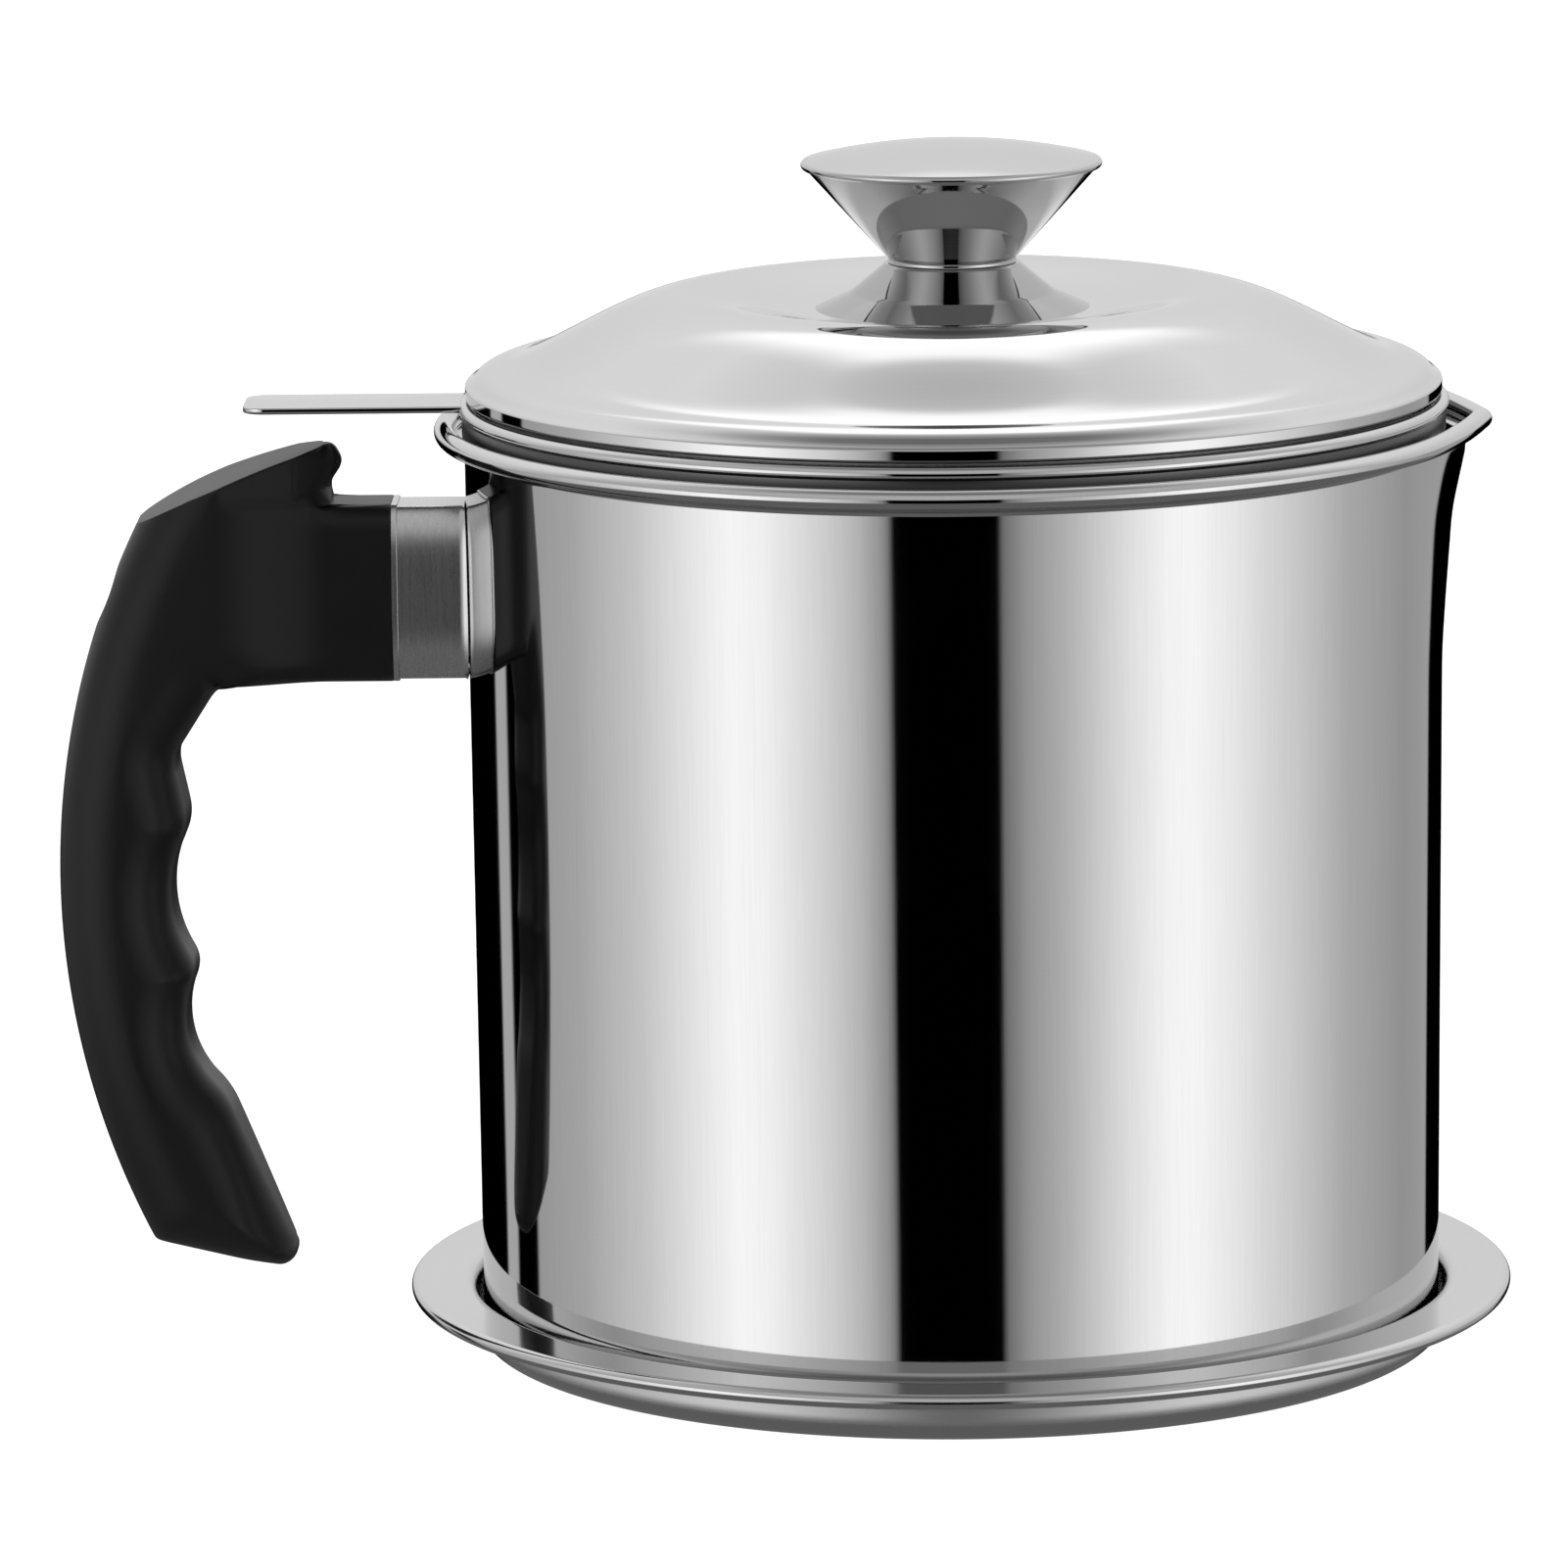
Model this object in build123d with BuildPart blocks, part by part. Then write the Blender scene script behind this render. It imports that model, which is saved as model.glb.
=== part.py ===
"""Bacon grease container: drip tray, spouted pot with a bakelite handle, strainer basket and lid.

All pieces share one frame in millimetres.  +Z is up, the origin is the centre of the tray's
underside, the pouring lip points to +X and both handles point to -X.
"""
from build123d import *
from math import cos, radians, sin, sqrt, tan
import os

os.makedirs("parts", exist_ok=True)

# ---------------------------------------------------------------- clearances
lift_gap = 0.3          # between loose pieces that nest in one another
weld_gap = 0.05         # between curved faces that are spot-welded together
thread_gap = 0.1        # between a screw and its nut
hole_gap = 0.3          # around a screw that passes through

# ---------------------------------------------------------------- drip tray
tray_sheet = 0.6
tray_height = 8.5
tray_gap = 0.8          # around the pot, all round the well
tray_flange = 8.4       # width of the flange outside the well
tray_curl_radius = 1.0
tray_corner = 3.5
tray_bend = 1.4

# ---------------------------------------------------------------- pot
pot_sheet = 0.6
pot_base_radius = 64.6
pot_neck_radius = 65.4  # the drawn wall opens very slightly towards the mouth
pot_neck_height = 120.6
pot_flare = 2.1         # the mouth steps out by this much, as a 45 degree cone
pot_corner = 3.5
pot_panel_margin = 15.6 # from the base's edge in to the raised panel
pot_panel_rise = 1.2
pot_bead_radius = 1.4
pot_bead_rise = 1.9     # from the top of the flare up to the middle of the bead
pot_bead_set_back = 0.5 # from the mouth's outer face out to the middle of the bead

lip_half_angle = 21.0   # the pouring lip's share of the rim, each side of +X
lip_root_drop = 27.6    # where the lip starts, below the neck
lip_bend_drop = 8.6
lip_bend_reach = 1.3
lip_neck_reach = 3.1
lip_rim_reach = 2.5
lip_nose_round = 0.12   # how much of the lip's point is rounded away

# ---------------------------------------------------------------- strainer
strainer_sheet = 0.5
strainer_bead_radius = 1.0
strainer_bead_play = 0.5    # sideways, inside the pot's bead
strainer_bead_bite = 0.6    # of the rim's outer face into its bead
strainer_rim_rise = 1.1     # clear height between the pot's bead and the strainer's
strainer_depth = 24.0
strainer_corner = 3.0
strainer_seat_width = 6.0
mesh_thickness = 0.5
mesh_pitch = 6.5
mesh_wire = 1.0
ring_sheet = 0.6
ring_upstand = 4.5

strip_width = 13.0
strip_sheet = 0.9
strip_overhang = 26.8   # from the middle of the pot's bead to the tip
strip_corner = 3.0
strip_drop = 0.2        # below the top of the strainer's bead

# ---------------------------------------------------------------- lid
lid_sheet = 0.5
lid_overhang = 0.1      # past the middle of the strainer's bead
lid_edge = 1.6          # straight turned-down edge under the brim
lid_brim_width = 2.8    # these widths are taken in from the lid's edge
lid_brim_rise = 4.5     # and these rises up from its lowest edge
lid_valley_width = 8.0
lid_valley_rise = 5.9
lid_flank_width = 15.2
lid_flank_rise = 8.9
lid_crown_width = 28.2
lid_crown_rise = 13.6
lid_seat_margin = 0.7   # flat seat outside the knob's foot
lid_seat_rise = 11.4
lid_ring_play = 0.6     # sideways, inside the strainer's bead
lid_ring_sheet = 0.5
lid_ring_reach = 0.8    # below the strainer's bead centre, clear of the pot's rim

# ---------------------------------------------------------------- knob
knob_sheet = 0.6
knob_foot_radius = 18.3
knob_foot_height = 6.1
knob_waist_radius = 9.3
knob_foot_sag = 1.1     # the foot's flank is slightly hollow
knob_neck_radius = 8.6
knob_rim_radius = 20.1
knob_rim_height = 13.2  # above the neck
knob_crimp = 1.2
knob_crown = 2.3

# ---------------------------------------------------------------- screws, M5
screw_radius = 2.5
screw_head_radius = 4.5
screw_head_height = 3.4
screw_head_round = 1.1
recess_length = 4.5
recess_width = 0.9
recess_depth = 1.7
washer_radius = 5.0
washer_thickness = 1.0
nut_flats = 8.0
nut_height = 4.0
screw_overrun = 1.0

# ---------------------------------------------------------------- handle
arm_drop = 23.5         # from the pot's rim down to the handle screw
ferrule_reach = 9.9     # from the neck out to the ferrule's front edge
ferrule_height = 23.4
ferrule_width = 13.2
ferrule_corner = 3.5
ferrule_sheet = 0.8
ferrule_straight = 7.0
ferrule_flare = 10.0    # degrees, opening on to the pot's wall
ferrule_lip = 0.3
ferrule_lip_length = 0.9
bracket_sheet = 1.2
bracket_height = 17.0
bracket_lip = 3.0
tenon_length = 2.3
tenon_gap = 0.2

# The grip is drawn from the handle screw's line, as (distance behind the ferrule, height).
grip_width = 22.0
grip_margin = 0.3       # the arm is a little proud of the ferrule all round
grip_back_radius = 109.3
grip_back_round = 8.0
grip_edge_round = 5.0
grip_crest_round = 3.0  # between the finger grooves, and where they meet the arm and the toe
grip_apex = (45.4, -38.9)
grip_heel_height = -90.1
grip_toe = (12.9, -93.2)
grip_toe_round = 2.2
finger_crests = [(23.4, -68.4), (26.7, -51.1), (27.6, -31.5)]
finger_valleys = [(28.0, -57.9), (29.6, -40.7), (28.6, -23.0)]
arm_root = 24.0         # where the top finger groove meets the arm's underside
arm_length = 8.7        # straight part of the arm
arm_widening = 14.0     # then it widens to the grip over this length
arm_corner = 1.2
nose_notch = (8.0, 14.8)
nose_tip = (6.3, 17.3)
nose_cheek = (12.7, 7.3)    # distance behind the ferrule and half the width there
nose_base_height = 13.0
thumb_line = [(2.7, 21.1), (21.7, 15.6), (38.7, 6.8)]
thumb_stock = 23.5      # height of the blank before the thumb rest is cut
grip_screw_depth = 30.7 # from the ferrule to the washer in the counterbore

# ---------------------------------------------------------------- worked-out sizes
pot_floor = tray_sheet
neck_slope = (pot_neck_radius - pot_base_radius) / (pot_neck_height - pot_floor - pot_corner)
bend_shift = tan(radians(22.5))         # how far a 45 degree bend moves across one sheet
mouth_radius = pot_neck_radius + pot_flare
mouth_height = pot_neck_height + pot_flare
pot_bead_height = mouth_height + pot_bead_rise
pot_bead_centre = mouth_radius + pot_bead_set_back
pot_rim = pot_bead_height + pot_bead_radius


def wall_radius(height):
    """Outer radius of the drawn wall at a height."""
    return pot_neck_radius - neck_slope * (pot_neck_height - height)


strainer_floor = pot_neck_height - strainer_depth
strainer_wall = min(                # clear of the neck, and of the wall beside the basket's foot
    pot_neck_radius - pot_sheet - 2 * lift_gap,
    wall_radius(strainer_floor) - pot_sheet - lift_gap,
)
strainer_bead_height = pot_rim + strainer_rim_rise
strainer_bead_edge = pot_bead_centre - pot_bead_radius - strainer_bead_play
strainer_bead_centre = strainer_bead_edge - strainer_bead_radius
strainer_rim_wall = strainer_bead_centre + strainer_bead_bite
seat_line = pot_neck_height + pot_sheet * bend_shift - (pot_neck_radius - pot_sheet)
seat_line_strainer = seat_line + lift_gap * sqrt(2)
strainer_top = strainer_bead_height + strainer_bead_radius
strainer_seat_radius = strainer_wall - strainer_sheet - strainer_seat_width

screw_hole = screw_radius + hole_gap
lid_radius = strainer_bead_centre + lid_overhang
lid_bottom = strainer_top + lift_gap
lid_seat_height = lid_bottom + lid_seat_rise
lid_seat_floor = lid_seat_height - lid_sheet
knob_neck_height = lid_seat_height + knob_foot_height

arm_height = pot_rim - arm_drop
ferrule_front = pot_neck_radius + ferrule_reach
bracket_reach = ferrule_front - tenon_length

above = (Align.CENTER, Align.CENTER, Align.MIN)

# ================================================================ base_tray
# One pressing: a flat floor, a shallow well round the pot and a flange whose edge curls under.
well_radius = pot_base_radius + tray_gap + tray_sheet
with BuildPart() as base_tray:
    with BuildSketch(Plane.XZ):
        with BuildLine():
            curl_height = tray_height - tray_curl_radius
            curl_start = well_radius + tray_flange - tray_curl_radius
            inner_curl = tray_curl_radius - tray_sheet
            FilletPolyline(
                (0, 0),
                (well_radius, 0),
                (well_radius, tray_height - tray_sheet),
                (curl_start, tray_height - tray_sheet),
                radius=[tray_corner, tray_bend],
            )
            ThreePointArc(
                (curl_start, tray_height - tray_sheet),
                (curl_start + inner_curl, curl_height),
                (curl_start, curl_height - inner_curl),
            )
            Line((curl_start, curl_height - inner_curl), (curl_start, curl_height - tray_curl_radius))
            ThreePointArc(
                (curl_start, curl_height - tray_curl_radius),
                (curl_start + tray_curl_radius, curl_height),
                (curl_start, tray_height),
            )
            FilletPolyline(
                (curl_start, tray_height),
                (well_radius - tray_sheet, tray_height),
                (well_radius - tray_sheet, tray_sheet),
                (0, tray_sheet),
                radius=[tray_bend + tray_sheet, tray_corner - tray_sheet],
            )
            Line((0, tray_sheet), (0, 0))
        make_face()
    revolve(axis=Axis.Z)
base_tray.part.label = "base_tray"
export_step(base_tray.part, "parts/base_tray.step")


def lip_point(radius, reach, share):
    """A point of the rim's plan, at a share from -1 to 1 of the lip's half angle."""
    point_left = 1 - lip_nose_round
    hollow_flank = (1 - abs(share)) ** 2
    rounded_nose = lip_nose_round * (1 - share ** 2) ** 6
    angle = radians(lip_half_angle * share)
    distance = radius + reach * (hollow_flank - rounded_nose) / point_left
    return (distance * cos(angle), distance * sin(angle))


def rim_line(radius, reach):
    """The rim's plan: most of a circle, closed by the rounded point of the pouring lip."""
    end = radians(lip_half_angle)
    start_point = (radius * cos(end), radius * sin(end))
    end_point = (radius * cos(end), -radius * sin(end))
    shares = (-1, -0.7, -0.4, -0.17, 0, 0.17, 0.4, 0.7, 1)
    ThreePointArc(start_point, (-radius, 0), end_point)
    if reach == 0:
        ThreePointArc(end_point, (radius, 0), start_point)
    else:
        Spline(
            *[lip_point(radius, reach, share) for share in shares],
            tangents=[(sin(end), cos(end)), (-sin(end), cos(end))],
        )


# ================================================================ pot_body
# Deep-drawn sheet: dished base, drafted wall, a mouth that steps out to carry the strainer,
# a pouring lip pressed outwards over the top third, and a bead rolled all round the rim.
lip_root_height = pot_neck_height - lip_root_drop
lip_bend_height = pot_neck_height - lip_bend_drop
lip_root_radius = wall_radius(lip_root_height)
pot_levels = [
    (lip_root_height, lip_root_radius, 0.0),
    (lip_bend_height, wall_radius(lip_bend_height), lip_bend_reach),
    (pot_neck_height, pot_neck_radius, lip_neck_reach),
    (mouth_height, mouth_radius, lip_rim_reach),
    (pot_bead_height, mouth_radius, lip_rim_reach),
]
with BuildPart() as pot_body:
    for level_height, level_radius, level_reach in pot_levels:
        with BuildSketch(Plane.XY.offset(level_height)):
            with BuildLine():
                rim_line(level_radius, level_reach)
            make_face()
    loft(ruled=True)
    for level_height, level_radius, level_reach in pot_levels:
        in_flare = pot_neck_height <= level_height <= mouth_height
        inner_height = level_height + (pot_sheet * bend_shift if in_flare else 0)
        with BuildSketch(Plane.XY.offset(inner_height)):
            with BuildLine():
                rim_line(level_radius - pot_sheet, level_reach)
            make_face()
    loft(ruled=True, mode=Mode.SUBTRACT)
    with BuildSketch(Plane.XZ):
        with BuildLine():
            panel_radius = pot_base_radius - pot_panel_margin
            panel_edge = panel_radius + 2 * pot_panel_rise
            panel_height = pot_floor + pot_panel_rise
            FilletPolyline(
                (0, panel_height),
                (panel_radius, panel_height),
                (panel_edge, pot_floor),
                (pot_base_radius, pot_floor),
                (lip_root_radius, lip_root_height),
                radius=[pot_corner, pot_corner, pot_corner],
            )
            Line((lip_root_radius, lip_root_height), (lip_root_radius - pot_sheet, lip_root_height))
            FilletPolyline(
                (lip_root_radius - pot_sheet, lip_root_height),
                (pot_base_radius - pot_sheet, pot_floor + pot_sheet),
                (panel_edge, pot_floor + pot_sheet),
                (panel_radius, panel_height + pot_sheet),
                (0, panel_height + pot_sheet),
                radius=[pot_corner - pot_sheet, pot_corner, pot_corner],
            )
            Line((0, panel_height + pot_sheet), (0, panel_height))
        make_face()
    revolve(axis=Axis.Z)
    with BuildLine() as bead_plan:
        rim_line(pot_bead_centre, lip_rim_reach)
    bead_path = bead_plan.wires()[0].moved(Location((0, 0, pot_bead_height)))
    with BuildSketch(Plane(origin=bead_path @ 0, z_dir=bead_path % 0)):
        Circle(pot_bead_radius)
    sweep(path=bead_path)
pot_body.part.label = "pot_body"
export_step(pot_body.part, "parts/pot_body.step")

# ================================================================ strainer_band
# Basket wall: its shoulder sits on the cone of the pot's mouth, the bead stands above the pot's
# own bead, and the bottom turns in to carry the mesh.
with BuildPart() as strainer_band:
    with BuildSketch(Plane.XZ):
        with BuildLine():
            shoulder_low = strainer_wall + seat_line_strainer
            shoulder_high = strainer_rim_wall + seat_line_strainer
            inner_shift = strainer_sheet * bend_shift
            seat_top = strainer_floor + strainer_sheet
            FilletPolyline(
                (strainer_rim_wall, strainer_bead_height),
                (strainer_rim_wall, shoulder_high),
                (strainer_wall, shoulder_low),
                (strainer_wall, strainer_floor),
                (strainer_seat_radius, strainer_floor),
                radius=[strainer_sheet, strainer_sheet, strainer_corner],
            )
            Line((strainer_seat_radius, strainer_floor), (strainer_seat_radius, seat_top))
            FilletPolyline(
                (strainer_seat_radius, seat_top),
                (strainer_wall - strainer_sheet, seat_top),
                (strainer_wall - strainer_sheet, shoulder_low + inner_shift),
                (strainer_rim_wall - strainer_sheet, shoulder_high + inner_shift),
                (strainer_rim_wall - strainer_sheet, strainer_bead_height),
                radius=[strainer_corner - strainer_sheet, strainer_sheet, strainer_sheet],
            )
            Line(
                (strainer_rim_wall - strainer_sheet, strainer_bead_height),
                (strainer_rim_wall, strainer_bead_height),
            )
        make_face()
        with Locations((strainer_bead_centre, strainer_bead_height)):
            Circle(strainer_bead_radius)
    revolve(axis=Axis.Z)
strainer_band.part.label = "strainer_band"
export_step(strainer_band.part, "parts/strainer_band.step")

# ================================================================ strainer_mesh
# Square-woven wire cloth, cut round; its selvedge is a plain ring held under the clamp ring.
mesh_radius = strainer_wall - strainer_corner - lift_gap
mesh_count = int(2 * strainer_seat_radius / mesh_pitch) + 1
with BuildPart() as strainer_mesh:
    with BuildSketch(Plane.XY.offset(seat_top)):
        Circle(mesh_radius)
        with BuildSketch(mode=Mode.SUBTRACT):
            with GridLocations(mesh_pitch, mesh_pitch, mesh_count, mesh_count):
                Rectangle(mesh_pitch - mesh_wire, mesh_pitch - mesh_wire)
            Circle(strainer_seat_radius, mode=Mode.INTERSECT)
    extrude(amount=mesh_thickness)
strainer_mesh.part.label = "strainer_mesh"
export_step(strainer_mesh.part, "parts/strainer_mesh.step")

# ================================================================ mesh_clamp_ring
# Angle ring pressed down over the cloth's edge and spot-welded inside the basket wall.
ring_floor = seat_top + mesh_thickness
ring_radius = strainer_wall - strainer_sheet - weld_gap
with BuildPart() as mesh_clamp_ring:
    with BuildSketch(Plane.XZ):
        with BuildLine():
            FilletPolyline(
                (strainer_seat_radius, ring_floor),
                (ring_radius, ring_floor),
                (ring_radius, ring_floor + ring_upstand),
                radius=[strainer_corner],
            )
            Line(
                (ring_radius, ring_floor + ring_upstand),
                (ring_radius - ring_sheet, ring_floor + ring_upstand),
            )
            FilletPolyline(
                (ring_radius - ring_sheet, ring_floor + ring_upstand),
                (ring_radius - ring_sheet, ring_floor + ring_sheet),
                (strainer_seat_radius, ring_floor + ring_sheet),
                radius=[strainer_corner - ring_sheet],
            )
            Line((strainer_seat_radius, ring_floor + ring_sheet), (strainer_seat_radius, ring_floor))
        make_face()
    revolve(axis=Axis.Z)
mesh_clamp_ring.part.label = "mesh_clamp_ring"
export_step(mesh_clamp_ring.part, "parts/mesh_clamp_ring.step")

# ================================================================ strainer_handle
# A flat strip coped to the strainer's bead and welded on, passing clear over the pot's bead.
strip_top = strainer_top - strip_drop
strip_reach = pot_bead_centre + strip_overhang
with BuildPart() as strainer_handle:
    with BuildSketch(Plane.XY.offset(strip_top)):
        with Locations((-(strip_reach + strainer_bead_centre) / 2, 0)):
            Rectangle(strip_reach - strainer_bead_centre, strip_width)
        fillet(vertices().group_by(Axis.X)[0], radius=strip_corner)
    extrude(amount=-strip_sheet)
    with BuildSketch(Plane.XZ):
        with Locations((strainer_bead_centre, strainer_bead_height)):
            Circle(strainer_bead_radius + weld_gap)
        with Locations((strainer_bead_centre / 2, strainer_bead_height)):
            Rectangle(strainer_bead_centre, 4 * strainer_bead_radius)
    revolve(axis=Axis.Z, mode=Mode.SUBTRACT)
strainer_handle.part.label = "strainer_handle"
export_step(strainer_handle.part, "parts/strainer_handle.step")


def crown_line(drop):
    """The lid's crown from its screw hole to the turned-down edge, dropped by the sheet."""
    edge_radius = lid_radius - drop
    slope_shift = drop / 2      # on the slopes the sheet's thickness also narrows the curve
    seat = (knob_foot_radius + lid_seat_margin, lid_seat_height - drop)
    brim = (edge_radius, lid_bottom + lid_edge)
    Line((screw_hole, lid_seat_height - drop), seat)
    Spline(
        seat,
        (lid_radius - lid_crown_width, lid_bottom + lid_crown_rise - drop),
        (lid_radius - lid_flank_width - slope_shift, lid_bottom + lid_flank_rise - drop),
        (lid_radius - lid_valley_width, lid_bottom + lid_valley_rise - drop),
        (lid_radius - lid_brim_width - slope_shift, lid_bottom + lid_brim_rise - drop),
        brim,
        tangents=[(1, 0), (0, -1)],
    )
    Line(brim, (edge_radius, lid_bottom))


# ================================================================ lid_shell
# Stamped sheet: a knob seat, a domed crown, a shallow valley and a rolled brim.
with BuildPart() as lid_shell:
    with BuildSketch(Plane.XZ):
        with BuildLine():
            crown_line(0)
            crown_line(lid_sheet)
            Line((screw_hole, lid_seat_height), (screw_hole, lid_seat_floor))
            Line((lid_radius, lid_bottom), (lid_radius - lid_sheet, lid_bottom))
        make_face()
    revolve(axis=Axis.Z)
lid_shell.part.label = "lid_shell"
export_step(lid_shell.part, "parts/lid_shell.step")

# ================================================================ lid_locating_ring
# Hoop welded under the brim; it keeps the lid centred inside the strainer's bead.
lid_ring_radius = strainer_bead_centre - strainer_bead_radius - lid_ring_play
lid_ring_foot = strainer_bead_height - lid_ring_reach
with BuildPart() as lid_locating_ring:
    with BuildSketch(Plane.XZ):
        with BuildLine():
            crown_line(lid_sheet + weld_gap)
            Polyline(
                (lid_radius - lid_sheet - weld_gap, lid_bottom),
                (lid_radius - lid_sheet - weld_gap, lid_ring_foot),
                (screw_hole, lid_ring_foot),
                (screw_hole, lid_seat_floor - weld_gap),
            )
        make_face()
        with Locations((lid_ring_radius - lid_ring_sheet / 2, lid_bottom)):
            Rectangle(lid_ring_sheet, 2 * lid_crown_rise, mode=Mode.INTERSECT)
    revolve(axis=Axis.Z)
lid_locating_ring.part.label = "lid_locating_ring"
export_step(lid_locating_ring.part, "parts/lid_locating_ring.step")

# ================================================================ knob_foot
# Hollow conical foot on the lid's seat, closed on top by a plate with the screw hole.
foot_plate = knob_neck_height - knob_sheet
foot_middle = (knob_foot_radius + knob_waist_radius - knob_foot_sag) / 2
foot_rise = (lid_seat_height + knob_neck_height - knob_foot_sag) / 2
foot_hem = 1.6 * knob_sheet     # width of the sheet where the slanting flank meets the lid
with BuildPart() as knob_foot:
    with BuildSketch(Plane.XZ):
        with BuildLine():
            ThreePointArc(
                (knob_foot_radius, lid_seat_height),
                (foot_middle, foot_rise),
                (knob_waist_radius, knob_neck_height - knob_sheet / 2),
            )
            Polyline(
                (knob_waist_radius, knob_neck_height - knob_sheet / 2),
                (knob_waist_radius - knob_sheet / 2, knob_neck_height),
                (screw_hole, knob_neck_height),
                (screw_hole, foot_plate),
                (knob_waist_radius - knob_sheet, foot_plate),
            )
            ThreePointArc(
                (knob_waist_radius - knob_sheet, foot_plate),
                (foot_middle - knob_sheet, foot_rise - knob_sheet),
                (knob_foot_radius - foot_hem, lid_seat_height),
            )
            Line((knob_foot_radius - foot_hem, lid_seat_height), (knob_foot_radius, lid_seat_height))
        make_face()
    revolve(axis=Axis.Z)
knob_foot.part.label = "knob_foot"
export_step(knob_foot.part, "parts/knob_foot.step")

# ================================================================ knob_bell
# Pressed cone standing on the foot; its flared rim takes the crimp of the cap.
bell_top = knob_neck_height + knob_rim_height
bell_rim = knob_rim_radius - knob_sheet
bell_floor = knob_neck_height + knob_sheet
with BuildPart() as knob_bell:
    with BuildSketch(Plane.XZ):
        with BuildLine():
            Polyline(
                (screw_hole, knob_neck_height),
                (knob_neck_radius, knob_neck_height),
                (knob_neck_radius, bell_floor),
                (bell_rim, bell_top - knob_crimp / 2),
                (bell_rim, bell_top),
                (bell_rim - knob_sheet, bell_top),
                (bell_rim - knob_sheet, bell_top - knob_crimp / 2 + knob_sheet / 2),
                (knob_neck_radius - knob_sheet, bell_floor + knob_sheet),
                (knob_neck_radius - knob_sheet, bell_floor),
                (screw_hole, bell_floor),
                (screw_hole, knob_neck_height),
            )
        make_face()
    revolve(axis=Axis.Z)
knob_bell.part.label = "knob_bell"
export_step(knob_bell.part, "parts/knob_bell.step")

# ================================================================ knob_cap
# Domed disc whose edge is crimped over the bell's rim.
cap_edge = knob_rim_radius - knob_sheet
cap_crown = bell_top + knob_sheet + knob_crown
with BuildPart() as knob_cap:
    with BuildSketch(Plane.XZ):
        with BuildLine():
            TangentArc((0, cap_crown), (cap_edge, bell_top + knob_sheet), tangent=(1, 0))
            JernArc((cap_edge, bell_top + knob_sheet), (1, 0), knob_sheet, -90)
            Polyline(
                (knob_rim_radius, bell_top),
                (knob_rim_radius, bell_top - knob_crimp),
                (bell_rim - knob_sheet / 2, bell_top - knob_crimp),
                (bell_rim, bell_top - knob_crimp / 2),
                (bell_rim, bell_top),
                (bell_rim - knob_sheet, bell_top),
            )
            TangentArc(
                (0, cap_crown - knob_sheet), (bell_rim - knob_sheet, bell_top), tangent=(1, 0)
            )
            Line((0, cap_crown - knob_sheet), (0, cap_crown))
        make_face()
    revolve(axis=Axis.Z)
knob_cap.part.label = "knob_cap"
export_step(knob_cap.part, "parts/knob_cap.step")


def hexagon_nut(base):
    """A hexagon nut standing on a plane, bored clear of its screw."""
    with BuildSketch(base) as blank:
        RegularPolygon(nut_flats / 2, side_count=6, major_radius=False, rotation=30)
        Circle(screw_radius + thread_gap, mode=Mode.SUBTRACT)
    extrude(blank.sketch, amount=nut_height)


def plain_washer(base):
    """A plain washer standing on a plane."""
    with BuildSketch(base) as blank:
        Circle(washer_radius)
        Circle(screw_hole, mode=Mode.SUBTRACT)
    extrude(blank.sketch, amount=washer_thickness)


def pan_screw(seat, length):
    """A cross-recessed pan-head screw along a plane's normal, its head behind the plane."""
    with BuildSketch(seat) as shaft:
        Circle(screw_radius)
    extrude(shaft.sketch, amount=length)
    with BuildSketch(seat) as head:
        Circle(screw_head_radius)
    extrude(head.sketch, amount=-screw_head_height)
    screw_axis = Axis(seat.origin, seat.z_dir)
    fillet(edges().group_by(screw_axis)[0], radius=screw_head_round)
    with BuildSketch(seat.offset(-screw_head_height)) as cross:
        Rectangle(recess_length, recess_width)
        Rectangle(recess_width, recess_length)
    extrude(cross.sketch, amount=recess_depth, mode=Mode.SUBTRACT)


# ================================================================ knob_nut
# Weld nut on the bell's bottom plate.
with BuildPart() as knob_nut:
    hexagon_nut(Plane.XY.offset(bell_floor))
knob_nut.part.label = "knob_nut"
export_step(knob_nut.part, "parts/knob_nut.step")

# ================================================================ knob_washer
# Under the lid, between the sheet and the screw's head.
knob_screw_seat = lid_seat_floor - washer_thickness
with BuildPart() as knob_washer:
    plain_washer(Plane.XY.offset(knob_screw_seat))
knob_washer.part.label = "knob_washer"
export_step(knob_washer.part, "parts/knob_washer.step")

# ================================================================ knob_screw
# Pan-head screw from under the lid, through the foot and the bell into the nut.
with BuildPart() as knob_screw:
    pan_screw(
        Plane.XY.offset(knob_screw_seat), bell_floor + nut_height + screw_overrun - knob_screw_seat
    )
knob_screw.part.label = "knob_screw"
export_step(knob_screw.part, "parts/knob_screw.step")

# ================================================================ handle_ferrule
# Drawn oblong sleeve between the grip and the pot, opening slightly on to the wall.
cope_low = arm_height - ferrule_height
cope_height = 2 * ferrule_height
cope_radii = (
    wall_radius(cope_low) + weld_gap,
    wall_radius(cope_low + cope_height) + weld_gap,
)
cope_reach = sqrt(min(pot_base_radius, pot_neck_radius) ** 2 - ferrule_width ** 2)
flare_start = ferrule_front - ferrule_straight
arm_plane = Plane(origin=(-ferrule_front, 0, arm_height), x_dir=(0, 1, 0), z_dir=(1, 0, 0))


def oblong(inset):
    """The ferrule's section, drawn in by an inset on every side."""
    RectangleRounded(
        ferrule_width - 2 * inset, ferrule_height - 2 * inset, ferrule_corner - inset
    )


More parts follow.
